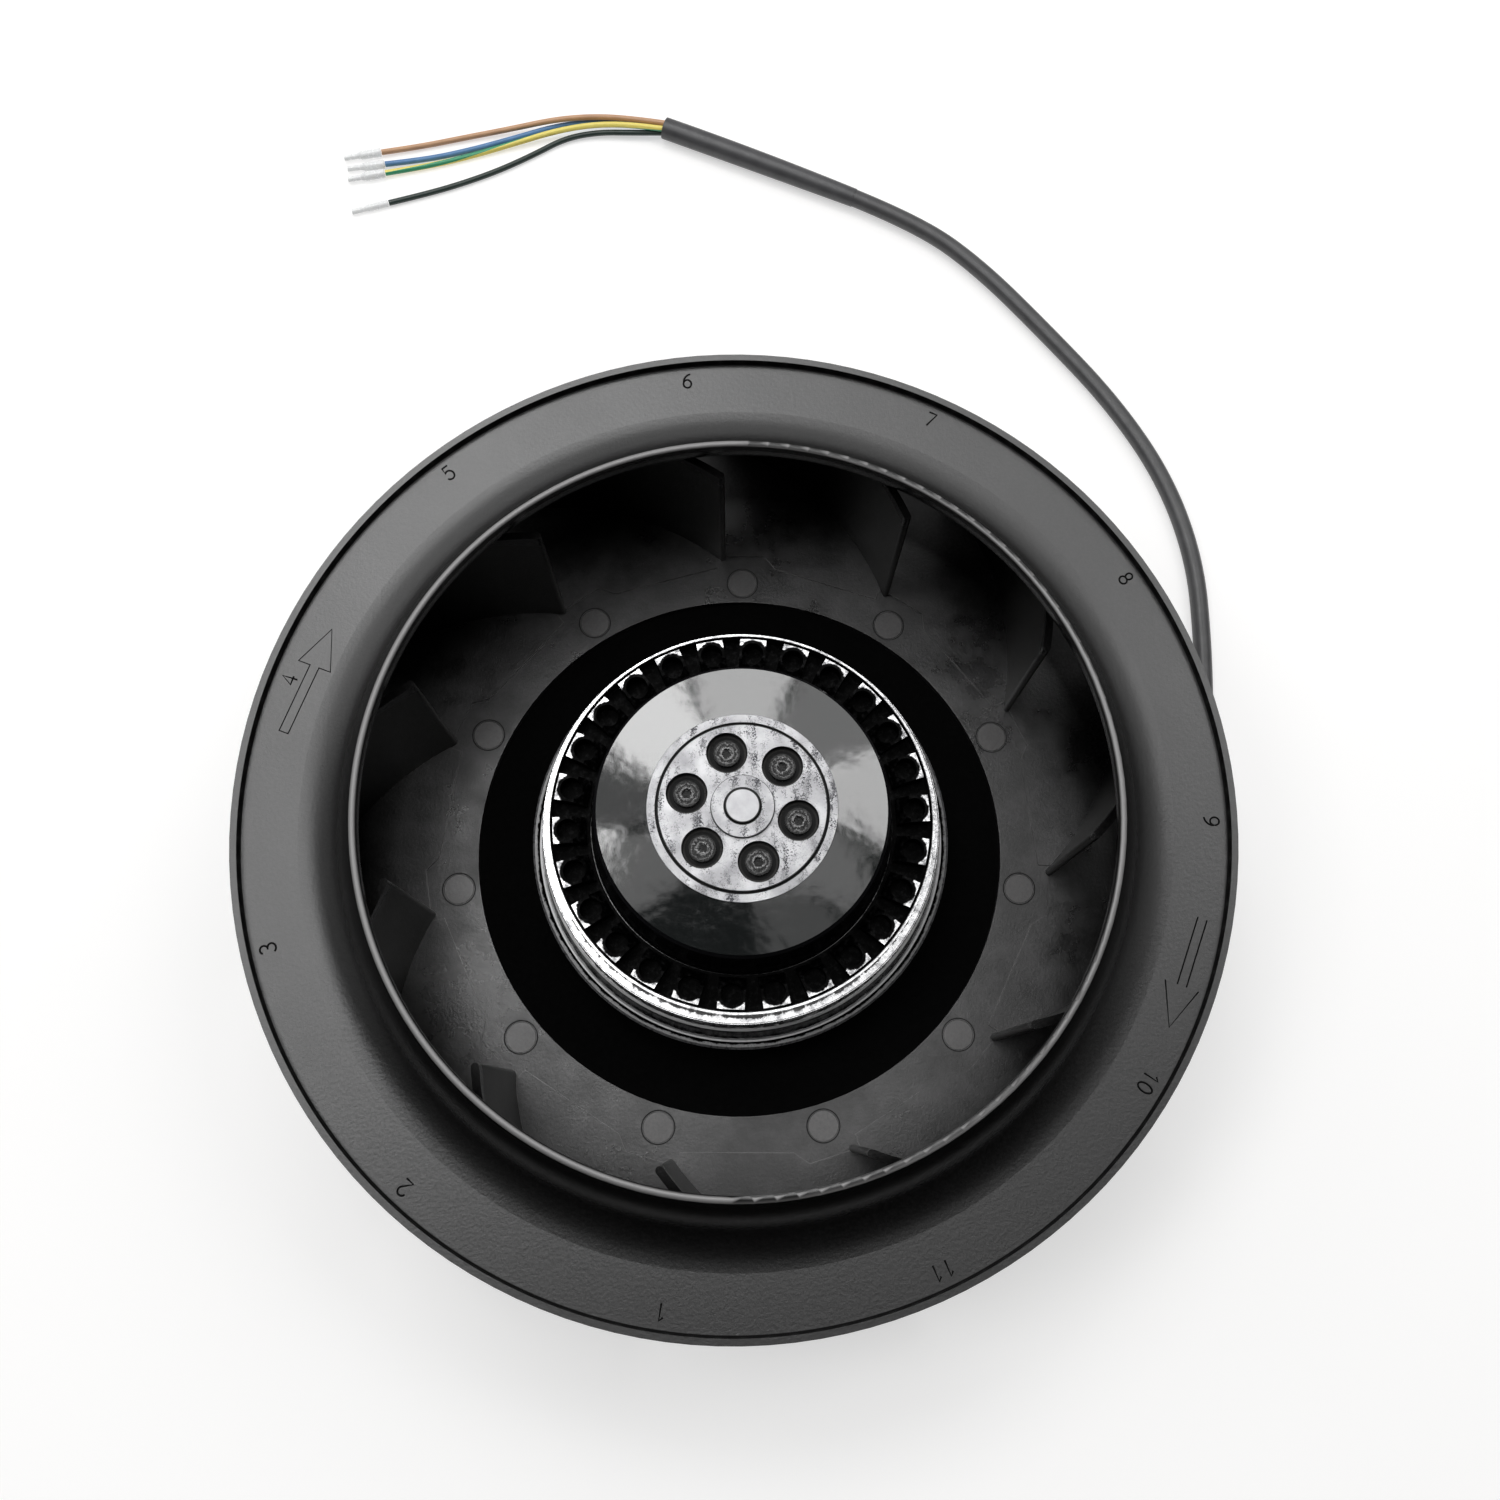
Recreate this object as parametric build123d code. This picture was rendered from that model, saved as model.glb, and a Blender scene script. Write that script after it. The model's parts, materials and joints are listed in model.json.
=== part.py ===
from build123d import *
from math import atan2, cos, degrees, radians, sin, sqrt, tan
import os

# Centrifugal fan: a backward-curved wheel carried by the cup of an external-rotor motor.
# The stator's mounting face is at z = 0, the inlet lip is on top, and the shaft is the Z axis.
# Angles are measured counter-clockwise seen from the inlet. All lengths are in millimetres.

# Wheel
blade_count = 11
wheel_radius = 110.0
shroud_width = 29.9
shroud_wall = 1.6
inlet_height = 60.8
land_drop = 15.8
flare_radius = 14.5
lip_height = 1.9
lip_width = 1.5
plate_margin = 0.4
plate_thickness = 2.2
passage_step = 0.4
inlet_radius = wheel_radius - shroud_width
plate_radius = wheel_radius - plate_margin
land_height = inlet_height - land_drop

# Studs that hold the wheel on its steel ring
stud_inset = 10.1
stud_edge = 5.1
stud_first_angle = 89.8
stud_head_radius = 3.55
stud_head_height = 1.2
stud_shank_radius = 2.2
stud_tail_radius = 3.2
stud_tail_height = 0.7
stud_clearance = 0.1
stud_circle_radius = inlet_radius - stud_inset
plate_hole_radius = stud_circle_radius - stud_edge

# Blades
blade_thickness = 1.8
blade_overhang = 2.9
blade_top_drop = 8.4
blade_corner_drop = 2.1
blade_tip_margin = 1.0
blade_sweep = 35.0
blade_camber = 6.5
blade_lead = 3.9
seat_inner_offset = 4.4
seat_outer_offset = 7.6
seat_start = 6.6
seat_end = 27.6
seat_shoulder = 4.2
blade_root_radius = inlet_radius - blade_overhang
blade_tip_radius = wheel_radius - blade_tip_margin
seat_inner_radius = stud_circle_radius + seat_inner_offset
seat_outer_radius = stud_circle_radius + seat_outer_offset

# Steel ring, with a collar that is pressed on the rotor cup
ring_height = 6.8
ring_thickness = 1.2
ring_margin = 6.0
collar_wall = 1.2
collar_height = 17.0
collar_rim_width = 2.1
collar_rim_height = 2.4
collar_rim_round = 0.5
collar_groove_inset = 0.4
collar_groove_width = 0.5
collar_groove_depth = 0.6
ring_radius = stud_circle_radius + ring_margin

# Rotor cup
cup_radius = 47.6
cup_wall = 3.9
cup_height = 45.0
cup_roof_thickness = 2.2
cup_bore_radius = 12.0
waist_width = 1.5
waist_drop = 9.8
ridge_size = 0.4
neck_width = 2.35
neck_drop = 1.6
neck_groove = 0.5
shoulder_width = 4.3
shoulder_height = 4.5
lip_wall = 0.5
trough_width = 8.6
trough_drop = 1.4
dome_step = 1.9
dome_edge_drop = 0.9
label_edge = 0.7
label_outer_rise = 15.9
label_inner_rise = 1.7
label_thickness = 0.2
label_inner_radius = 20.7
hub_seat_radius = 20.65
hub_seat_depth = 2.8
cup_inner_radius = cup_radius - cup_wall
cup_lip_radius = cup_radius - shoulder_width
cup_lip_height = cup_height + shoulder_height
trough_outer_radius = cup_lip_radius - lip_wall
trough_inner_radius = trough_outer_radius - trough_width
trough_floor = cup_height - trough_drop
dome_radius = trough_inner_radius - dome_step
label_outer_radius = dome_radius - label_edge
label_outer_height = cup_height + label_outer_rise
label_inner_height = label_outer_height + label_inner_rise
hub_seat_height = label_inner_height - hub_seat_depth

# Balance ring: a cast ring of pegs with a blind hole in each
peg_count = 26
peg_first_angle = 86.5
peg_width = 6.0
peg_length = 7.8
peg_gap = 0.6
peg_drop = 0.1
peg_slope_drop = 2.6
peg_hole_radius = 2.45
peg_hole_inset = 3.9
peg_hole_depth = 4.2
balance_ring_base = 1.6
balance_ring_clearance = 0.05
balance_ring_inner_gap = 0.15
peg_inner_radius = trough_outer_radius - peg_length
peg_hole_circle = trough_outer_radius - peg_hole_inset
peg_top = cup_lip_height - peg_drop

# Hub
hub_rise = 0.6
hub_rim_radius = 18.9
hub_disc_radius = 18.3
hub_groove_depth = 0.9
hub_rim_drop = 0.35
hub_rim_clearance = 0.1
hub_boss_radius = 6.85
hub_boss_height = 0.9
hub_sleeve_clearance = 0.05
hub_foot_height = 2.0
recess_count = 6
recess_circle = 12.4
recess_first_angle = 106.0
recess_radius = 4.5
recess_depth = 2.0
screw_head_radius = 2.9
screw_head_height = 1.4
screw_shank_radius = 1.5
screw_socket_radius = 1.2
screw_socket_depth = 0.8
screw_hole_clearance = 0.1
hub_height = label_inner_height + hub_rise

# Shaft and bearings
shaft_radius = 4.0
shaft_bottom = 5.2
shaft_stand = 1.5
shaft_chamfer = 0.3
bearing_radius = 11.0
bearing_width = 7.0
bearing_inner_ring_radius = 5.9
bearing_outer_ring_wall = 1.9
bearing_clearance = 0.06
bearing_ball_ring_height = 2.2
shaft_top = hub_height + shaft_stand
rear_bearing_height = 9.4
front_bearing_depth = 15.8
bearing_gap = 0.3
circlip_thickness = 0.9
circlip_radius = 5.6
circlip_groove_depth = 0.4
circlip_opening = 2.4
circlip_opening_angle = 200.0
washer_thickness = 1.2
washer_inner_radius = 9.6
front_bearing_height = hub_seat_height - front_bearing_depth

# Stator
flange_inset = 1.7
flange_thickness = 4.0
flange_boss_radius = 27.0
flange_boss_height = 4.0
flange_boss_taper = 2.0
tube_wall = 3.0
tube_shoulder_radius = 9.6
mount_circle_inset = 9.0
mount_hole_radius = 1.65
mount_hole_count = 4
mount_first_angle = 45.0
tooth_count = 12
core_bottom = 15.0
core_height = 18.0
air_gap = 0.4
core_yoke_gap = 2.0
tooth_width = 6.4
tooth_tip_height = 1.8
tooth_tip_gap = 2.6
insulator_thickness = 1.5
coil_thickness = 1.9
coil_clearance = 0.15
coil_length = 10.2
coil_outer_gap = 3.8
rotor_core_bottom = 13.6
rotor_core_height = 21.0
rotor_core_width = 6.7
cage_ring_height = 2.4
cage_ring_inset = 1.2
rotor_core_inner_radius = cup_inner_radius - rotor_core_width
cage_ring_inner_radius = rotor_core_inner_radius + cage_ring_inset
coil_outer_radius = rotor_core_inner_radius - coil_outer_gap
coil_inner_radius = coil_outer_radius - coil_length
core_yoke_radius = coil_inner_radius - core_yoke_gap
flange_radius = cup_inner_radius - flange_inset
mount_circle_radius = flange_radius - mount_circle_inset
protector_length = 9.0
protector_width = 5.0
protector_height = 3.0
dust_cap_thickness = 1.4
dust_cap_height = 1.6
earth_screw_angle = 15.0
earth_screw_inset = 6.0
earth_screw_head_radius = 3.4
earth_screw_head_height = 2.0
earth_screw_shank_radius = 1.9
earth_screw_circle = flange_radius - earth_screw_inset

# Cable, its relief and its leads
cable_exit_angle = -20.0
relief_reach = 12.0
cable_exit_height = 3.2
relief_inset = 9.0
relief_radius = 3.1
relief_tip_radius = 2.75
lead_pocket = 2.6
coil_lead_radius = 0.7
coil_lead_pitch = 2.6
cable_slot_clearance = 0.1
clamp_thickness = 1.0
clamp_length = 5.0
clamp_width = 15.2
clamp_screw_radius = 1.2
clamp_screw_offset = 5.9
sheath_diameter = 4.8
sleeve_diameter = 6.2
lead_diameter = 1.6
ferrule_length = 10.2
ferrule_crimp_length = 3.6
ferrule_radius = 1.2
ferrule_crimp_radius = 0.75
black_ferrule_radius = 0.95

relief_inner_radius = flange_radius - relief_inset
cable_exit_radius = flange_radius + relief_reach
cable_exit_x = round(cable_exit_radius * cos(radians(cable_exit_angle)), 2)
cable_exit_y = round(cable_exit_radius * sin(radians(cable_exit_angle)), 2)

sheath_route = [
    (cable_exit_x, cable_exit_y, cable_exit_height),
    (63.9, -23.2, 3.1),
    (80.0, -24.0, 2.7),
    (95.8, -17.4, 2.5),
    (108.8, -4.3, 2.4),
    (117.3, 13.2, 2.4),
    (121.9, 33.0, 2.4),
    (123.1, 56.0, 2.4),
    (122.7, 80.1, 2.4),
    (116.0, 104.0, 2.4),
    (102.7, 126.6, 2.4),
    (84.7, 148.0, 2.5),
    (67.3, 167.2, 2.7),
    (50.7, 180.4, 2.9),
    (32.0, 188.5, 3.1),
]
sleeve_route = [
    (32.0, 188.5, 3.1),
    (5.3, 199.6, 3.1),
    (-21.7, 209.8, 3.1),
]
brown_route = [
    (-21.4, 210.7, 3.95),
    (-31.0, 212.2, 3.7),
    (-42.0, 213.0, 3.2),
    (-53.0, 212.0, 2.8),
    (-66.0, 209.3, 1.7),
    (-79.0, 206.7, 0.9),
    (-91.0, 203.6, 0.9),
    (-101.4, 201.4, 1.2),
]
blue_route = [
    (-21.4, 210.7, 2.25),
    (-31.0, 212.2, 1.9),
    (-42.0, 212.8, 1.35),
    (-53.0, 211.2, 0.9),
    (-64.5, 207.0, 0.85),
    (-77.0, 202.8, 0.8),
    (-89.0, 199.5, 0.9),
    (-100.2, 197.6, 1.2),
]
green_yellow_route = [
    (-22.0, 208.9, 3.95),
    (-31.0, 210.3, 3.6),
    (-41.5, 210.5, 3.1),
    (-52.0, 208.8, 2.4),
    (-64.0, 205.2, 1.3),
    (-77.0, 200.8, 0.8),
    (-89.0, 197.3, 0.9),
    (-100.0, 194.8, 1.2),
]
black_route = [
    (-22.0, 208.9, 2.25),
    (-31.0, 208.9, 1.9),
    (-40.5, 209.2, 1.4),
    (-50.0, 207.4, 0.9),
    (-59.0, 201.8, 0.8),
    (-69.0, 196.3, 0.8),
    (-80.0, 191.6, 0.8),
    (-89.8, 188.2, 0.85),
    (-98.6, 185.5, 0.95),
]

# Heights that follow from the sizes above
plate_bottom = ring_height + ring_thickness
floor_height = plate_bottom + plate_thickness
inlet_top = floor_height + inlet_height
land_top = floor_height + land_height
flare_centre_radius = inlet_radius + shroud_wall + flare_radius
flare_centre_height = land_top + flare_radius
blade_pitch = 360.0 / blade_count
tube_radius = bearing_radius + tube_wall
stator_radius = rotor_core_inner_radius - air_gap
core_top = core_bottom + core_height

made = {}


def keep(name, shape):
    """Write one piece to its own file."""
    shape.label = name
    made[name] = shape
    export_step(shape, f"parts/{name}.step")


def group(solids):
    """Separate solids that share one file."""
    return Compound(children=list(solids))


def polar(radius, angle, height=0.0):
    """Point at a radius and a counter-clockwise angle in degrees."""
    return (radius * cos(radians(angle)), radius * sin(radians(angle)), height)


def spun(*points):
    """Solid of revolution about Z from a closed outline of (radius, height) points."""
    outline = Polyline([(r, z) for r, z in points], close=True)
    return revolve(Plane.XZ * make_face(outline), Axis.Z)


def disc(radius, bottom, top, x=0.0, y=0.0):
    """Cylinder between two heights."""
    return Pos(x, y, bottom) * Cylinder(radius, top - bottom, align=(Align.CENTER, Align.CENTER, Align.MIN))


def washer(outer, inner, bottom, top):
    """Flat ring between two heights."""
    return spun((inner, bottom), (outer, bottom), (outer, top), (inner, top))


def block(length, width, bottom, top, radius, angle):
    """Box whose length runs outward from the axis, its middle at the given radius."""
    box = Pos(radius, 0, bottom) * Box(length, width, top - bottom, align=(Align.CENTER, Align.CENTER, Align.MIN))
    return Rot(0, 0, angle) * box


# Wheel: front shroud, back plate and blades

def shroud():
    """Inlet lip, flared wall, flat land and rim lip in one moulding."""
    outer = inlet_radius + shroud_wall
    lip_round = shroud_wall / 2
    rim_inner = wheel_radius - lip_width
    wall_radius = flare_radius + shroud_wall
    land_bottom = land_top - shroud_wall
    middle = sqrt(0.5)
    centre_r, centre_z = flare_centre_radius, flare_centre_height
    outline = [
        Line((inlet_radius, centre_z), (inlet_radius, inlet_top - lip_round)),
        ThreePointArc(
            (inlet_radius, inlet_top - lip_round),
            (inlet_radius + lip_round, inlet_top),
            (outer, inlet_top - lip_round),
        ),
        Line((outer, inlet_top - lip_round), (outer, centre_z)),
        ThreePointArc(
            (outer, centre_z),
            (centre_r - flare_radius * middle, centre_z - flare_radius * middle),
            (centre_r, land_top),
        ),
        Line((centre_r, land_top), (rim_inner, land_top)),
        Line((rim_inner, land_top), (rim_inner, land_top + lip_height)),
        Line((rim_inner, land_top + lip_height), (wheel_radius, land_top + lip_height)),
        Line((wheel_radius, land_top + lip_height), (wheel_radius, land_bottom)),
        Line((wheel_radius, land_bottom), (centre_r, land_bottom)),
        ThreePointArc(
            (centre_r, land_bottom),
            (centre_r - wall_radius * middle, centre_z - wall_radius * middle),
            (inlet_radius, centre_z),
        ),
    ]
    return revolve(Plane.XZ * make_face(Curve() + outline), Axis.Z)


def blade_channel():
    """Space between the plate and the shroud that a blade fills, with its free top edge in the eye."""
    wall_radius = flare_radius + shroud_wall
    eye_r = blade_root_radius - blade_thickness
    eye_z = inlet_top - blade_top_drop
    corner_z = eye_z - blade_corner_drop
    drop = flare_centre_height - corner_z
    corner_r = flare_centre_radius - sqrt(wall_radius ** 2 - drop ** 2)
    land_bottom = land_top - shroud_wall
    start = atan2(drop, flare_centre_radius - corner_r)
    bend = (start + radians(90)) / 2
    foot = floor_height
    outline = [
        Line((eye_r, foot), (eye_r, eye_z)),
        Line((eye_r, eye_z), (corner_r, corner_z)),
        ThreePointArc(
            (corner_r, corner_z),
            (flare_centre_radius - wall_radius * cos(bend), flare_centre_height - wall_radius * sin(bend)),
            (flare_centre_radius, land_bottom),
        ),
        Line((flare_centre_radius, land_bottom), (blade_tip_radius, land_bottom)),
        Line((blade_tip_radius, land_bottom), (blade_tip_radius, foot)),
        Line((blade_tip_radius, foot), (eye_r, foot)),
    ]
    return revolve(Plane.XZ * make_face(Curve() + outline), Axis.Z)


def stud_angle(index):
    """Studs are counted clockwise from the top of the wheel."""
    return stud_first_angle - index * blade_pitch


def blade_middle_line():
    """Arc through the middle of the first stud's blade, from its nose to its tip."""
    root_angle = stud_angle(0) + blade_lead
    root = Vector(*polar(blade_root_radius, root_angle))
    tip = Vector(*polar(blade_tip_radius, root_angle + blade_sweep - blade_lead))
    chord = tip - root
    outward = Vector(chord.Y, -chord.X, 0).normalized()
    crown = (root + tip) / 2 + outward * blade_camber
    arc = ThreePointArc(root, crown, tip)
    centre = arc.arc_center
    radius = arc.radius
    first = degrees(atan2(root.Y - centre.Y, root.X - centre.X))
    last = degrees(atan2(tip.Y - centre.Y, tip.X - centre.X))
    return centre, radius, first, last


def blade_plan():
    """Curved strip with a round nose. It runs on past the tip, where the channel cuts it."""
    centre, radius, first, last = blade_middle_line()
    half = blade_thickness / 2
    spare = degrees(2 * blade_thickness / radius)
    turn = last - first + spare
    middle = CenterArc(centre, radius, first, turn)
    inside = CenterArc(centre, radius - half, first, turn)
    outside = CenterArc(centre, radius + half, first, turn)
    nose = ThreePointArc(inside @ 0, (middle @ 0) - (middle % 0) * half, outside @ 0)
    edges = [inside, nose, outside, Line(inside @ 1, outside @ 1)]
    return make_face(Curve() + edges)


def passage_floor():
    """Raised floor of the passages: its inner border steps from stud to stud."""
    border = []
    for index in range(blade_count):
        stud = stud_angle(index)
        border.append(polar(seat_inner_radius, stud - seat_start))
        border.append(polar(seat_inner_radius, stud - seat_end))
        border.append(polar(seat_outer_radius, stud - seat_end))
        border.append(polar(seat_outer_radius, stud - blade_pitch - seat_shoulder))
    inner = make_face(Polyline([(x, y) for x, y, _ in border], close=True))
    plan = Circle(plate_radius) - inner
    return Pos(0, 0, floor_height) * extrude(plan, passage_step)


def back_plate():
    """Flat ring with a stepped hole for each stud and the raised passage floors."""
    plate = washer(plate_radius, plate_hole_radius, plate_bottom, floor_height)
    plate += passage_floor()
    head_bottom = floor_height - stud_head_height
    for index in range(blade_count):
        x, y, _ = polar(stud_circle_radius, stud_angle(index))
        plate -= disc(stud_head_radius + stud_clearance, head_bottom, floor_height + passage_step, x, y)
        plate -= disc(stud_shank_radius + stud_clearance, plate_bottom, head_bottom, x, y)
    return plate


def stud(index):
    """Moulded rivet: flush head in the plate, shank through the ring, upset tail below it."""
    x, y, _ = polar(stud_circle_radius, stud_angle(index))
    head = disc(stud_head_radius, floor_height - stud_head_height, floor_height, x, y)
    shank = disc(stud_shank_radius, ring_height, floor_height - stud_head_height, x, y)
    tail = disc(stud_tail_radius, ring_height - stud_tail_height, ring_height, x, y)
    return head + shank + tail


def mounting_ring():
    """Steel ring with a collar pressed on the rotor cup."""
    outer_collar = cup_radius + collar_wall
    rim = cup_radius + collar_rim_width
    top = plate_bottom + collar_height
    groove = cup_radius + collar_groove_inset
    ring = spun(
        (cup_inner_radius, ring_height),
        (ring_radius, ring_height),
        (ring_radius, plate_bottom),
        (outer_collar, plate_bottom),
        (outer_collar, top - collar_rim_height),
        (rim, top - collar_rim_height + collar_rim_round),
        (rim, top - collar_rim_round),
        (rim - collar_rim_round, top),
        (groove + collar_groove_width, top),
        (groove + collar_groove_width / 2, top - collar_groove_depth),
        (groove, top),
        (cup_radius, top),
        (cup_radius, plate_bottom),
        (cup_inner_radius, plate_bottom),
    )
    for index in range(blade_count):
        x, y, _ = polar(stud_circle_radius, stud_angle(index))
        ring -= disc(stud_shank_radius + stud_clearance, ring_height, plate_bottom, x, y)
    return ring


# Rotor

def rotor_cup():
    """Deep cup: tapered wall, neck, bright face, thin lip, trough for the balance ring and hub seat."""
    roof = cup_roof_thickness
    waist = cup_radius - waist_width
    waist_height = cup_height - waist_drop
    neck = cup_radius - neck_width
    neck_height = cup_height - neck_drop
    outside = [
        (cup_inner_radius, plate_bottom),
        (cup_radius, plate_bottom),
        (cup_radius, plate_bottom + collar_height),
        (waist, waist_height - ridge_size),
        (waist - ridge_size, waist_height),
        (neck - neck_groove / 2, waist_height),
        (neck - neck_groove, neck_height - neck_groove),
        (neck, neck_height - ridge_size / 2),
        (neck - ridge_size / 2, neck_height),
        (cup_lip_radius, neck_height),
        (cup_lip_radius, cup_lip_height),
    ]
    inside = [
        (trough_outer_radius, cup_lip_height),
        (trough_outer_radius, trough_floor),
        (trough_inner_radius, trough_floor),
        (dome_radius, label_outer_height - dome_edge_drop),
        (label_outer_radius, label_outer_height - label_thickness),
        (label_inner_radius, label_inner_height - label_thickness),
        (hub_seat_radius, label_inner_height - label_thickness),
        (hub_seat_radius, hub_seat_height),
        (cup_bore_radius, hub_seat_height),
        (cup_bore_radius, hub_seat_height - roof),
        (dome_radius - roof, hub_seat_height - roof),
        (trough_inner_radius - roof, trough_floor - roof),
        (cup_inner_radius, trough_floor - roof),
    ]
    cup = spun(*outside, *inside)
    for index in range(recess_count):
        x, y, _ = polar(recess_circle, recess_angle(index))
        cup -= disc(screw_shank_radius + screw_hole_clearance, hub_seat_height - roof, hub_seat_height, x, y)
    return cup


def balance_ring():
    """Cast ring in the trough of the cup, with one peg and one blind hole at each pitch."""
    seat = trough_floor
    seat_outer = trough_outer_radius - balance_ring_clearance
    outer = trough_outer_radius - peg_gap
    inner = trough_inner_radius + balance_ring_inner_gap
    ring = washer(seat_outer, inner, seat, seat + balance_ring_base)
    envelope = spun(
        (peg_inner_radius, seat + balance_ring_base),
        (outer, seat + balance_ring_base),
        (outer, peg_top),
        (peg_hole_circle - peg_hole_radius * 0.4, peg_top),
        (peg_inner_radius, peg_top - peg_slope_drop),
    )
    pegs = []
    for index in range(peg_count):
        angle = peg_first_angle - index * 360.0 / peg_count
        bar = block(2 * (outer - peg_inner_radius), peg_width, seat + balance_ring_base, peg_top, outer, angle)
        x, y, _ = polar(peg_hole_circle, angle)
        peg = (bar & envelope) - disc(peg_hole_radius, peg_top - peg_hole_depth, peg_top, x, y)
        pegs.append(peg)
    for peg in pegs:
        ring += peg
    return ring


def recess_angle(index):
    """Angle of one screw recess in the hub."""
    return recess_first_angle - index * 360.0 / recess_count


def rotor_hub():
    """Bright hub disc with a ring groove, six screw recesses and a sleeve down to the bearing."""
    rim_top = hub_height - hub_rim_drop
    groove_bottom = hub_height - hub_groove_depth
    boss_top = hub_height + hub_boss_height
    sleeve_bottom = front_bearing_height + bearing_width
    sleeve_radius = cup_bore_radius - hub_sleeve_clearance
    foot_radius = (shaft_radius + bearing_inner_ring_radius) / 2
    rim_radius = label_inner_radius - hub_rim_clearance
    hub = spun(
        (shaft_radius, sleeve_bottom),
        (foot_radius, sleeve_bottom),
        (foot_radius, sleeve_bottom + hub_foot_height),
        (sleeve_radius, sleeve_bottom + hub_foot_height),
        (sleeve_radius, hub_seat_height),
        (rim_radius, hub_seat_height),
        (rim_radius, rim_top),
        (hub_rim_radius, rim_top),
        (hub_rim_radius, groove_bottom),
        (hub_disc_radius, groove_bottom),
        (hub_disc_radius, hub_height),
        (hub_boss_radius, hub_height),
        (hub_boss_radius, boss_top),
        (shaft_radius, boss_top),
    )
    floor = hub_height - recess_depth
    for index in range(recess_count):
        x, y, _ = polar(recess_circle, recess_angle(index))
        hub -= disc(recess_radius, floor, hub_height, x, y)
        hub -= disc(screw_shank_radius + screw_hole_clearance, sleeve_bottom, floor, x, y)
    return hub


def hub_screw(index):
    """Screw with a round head and a hexagon socket, down through the hub into the roof of the cup."""
    x, y, _ = polar(recess_circle, recess_angle(index))
    floor = hub_height - recess_depth
    head = disc(screw_head_radius, floor, floor + screw_head_height, x, y)
    shank = disc(screw_shank_radius, hub_seat_height - cup_roof_thickness, floor, x, y)
    socket_bottom = floor + screw_head_height - screw_socket_depth
    socket = Pos(x, y, socket_bottom) * extrude(RegularPolygon(screw_socket_radius, 6), screw_socket_depth)
    return head + shank - socket


def label_ring():
    """Thin foil ring on the cone of the cup."""
    return spun(
        (label_inner_radius, label_inner_height - label_thickness),
        (label_outer_radius, label_outer_height - label_thickness),
        (label_outer_radius, label_outer_height),
        (label_inner_radius, label_inner_height),
    )


def shaft():
    """Ground shaft with a groove for the retaining ring."""
    body = disc(shaft_radius, shaft_bottom, shaft_top)
    ends = body.edges().filter_by(GeomType.CIRCLE)
    body = chamfer(ends, shaft_chamfer)
    groove_top = rear_bearing_height
    groove_bottom = groove_top - circlip_thickness - 0.1
    return body - washer(2 * shaft_radius, shaft_radius - circlip_groove_depth, groove_bottom, groove_top)


def circlip():
    """Retaining ring, open on one side, in the shaft's groove under the rear bearing."""
    top = rear_bearing_height - 0.05
    bottom = top - circlip_thickness
    ring = washer(circlip_radius, shaft_radius - circlip_groove_depth, bottom, top)
    return ring - block(circlip_radius * 2, circlip_opening, bottom, top, circlip_radius, circlip_opening_angle)


def bearing_inner(bottom):
    """Inner ring of a ball bearing, pressed on the shaft."""
    return washer(bearing_inner_ring_radius, shaft_radius, bottom, bottom + bearing_width)


def bearing_outer(bottom):
    """Outer ring with its two shields."""
    top = bottom + bearing_width
    inner = bearing_radius - bearing_outer_ring_wall
    shield_inner = bearing_inner_ring_radius + bearing_gap
    shield = 0.5
    return spun(
        (bearing_radius, bottom),
        (bearing_radius, top),
        (shield_inner, top),
        (shield_inner, top - shield),
        (inner, top - shield),
        (inner, bottom + shield),
        (shield_inner, bottom + shield),
        (shield_inner, bottom),
    )


def bearing_balls(bottom):
    """Ring that stands for the balls, on the outer track and clear of the inner ring."""
    middle = bottom + bearing_width / 2
    half = bearing_ball_ring_height / 2
    outer_track = bearing_radius - bearing_outer_ring_wall
    return washer(outer_track, bearing_inner_ring_radius + bearing_clearance, middle - half, middle + half)


def rotor_laminations():
    """Ring of rotor sheets inside the wall of the cup."""
    top = rotor_core_bottom + rotor_core_height
    return washer(cup_inner_radius, rotor_core_inner_radius, rotor_core_bottom, top)


def cage_ring(bottom):
    """Short-circuit ring cast on one end of the rotor sheets."""
    return washer(cup_inner_radius, cage_ring_inner_radius, bottom, bottom + cage_ring_height)


# Stator

def stator_flange():
    """Cast mounting flange with the bearing tube, threaded holes and the cable slot."""
    boss_top = flange_thickness + flange_boss_height
    rear_top = rear_bearing_height + bearing_width + washer_thickness
    tube_top = front_bearing_height + bearing_width - 1.0
    cap_seat = dust_cap_height + dust_cap_thickness
    flange = spun(
        (bearing_radius, 0),
        (flange_radius - 1.0, 0),
        (flange_radius, 1.0),
        (flange_radius, flange_thickness),
        (flange_boss_radius, flange_thickness),
        (flange_boss_radius - flange_boss_taper, boss_top),
        (tube_radius, boss_top),
        (tube_radius, tube_top),
        (bearing_radius, tube_top),
        (bearing_radius, front_bearing_height),
        (tube_shoulder_radius, front_bearing_height),
        (tube_shoulder_radius, rear_top),
        (bearing_radius, rear_top),
        (bearing_radius, cap_seat),
        (bearing_radius + 0.8, cap_seat),
        (bearing_radius + 0.8, dust_cap_height),
        (bearing_radius, dust_cap_height),
    )
    for index in range(mount_hole_count):
        x, y, _ = polar(mount_circle_radius, mount_first_angle + index * 360.0 / mount_hole_count)
        flange -= disc(mount_hole_radius, -1, flange_thickness + 1, x, y)
    slot_width = 2 * (relief_radius + cable_slot_clearance)
    slot_inner = relief_inner_radius - lead_pocket
    slot_length = 2 * (flange_radius - slot_inner)
    flange -= block(slot_length, slot_width, -1, flange_thickness + 1, flange_radius, cable_exit_angle)
    x, y, _ = polar(earth_screw_circle, earth_screw_angle)
    flange -= disc(earth_screw_shank_radius + 0.05, -1, flange_thickness + 1, x, y)
    for offset in (-clamp_screw_offset, clamp_screw_offset):
        flange -= clamp_screw_hole(offset)
    return flange


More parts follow.
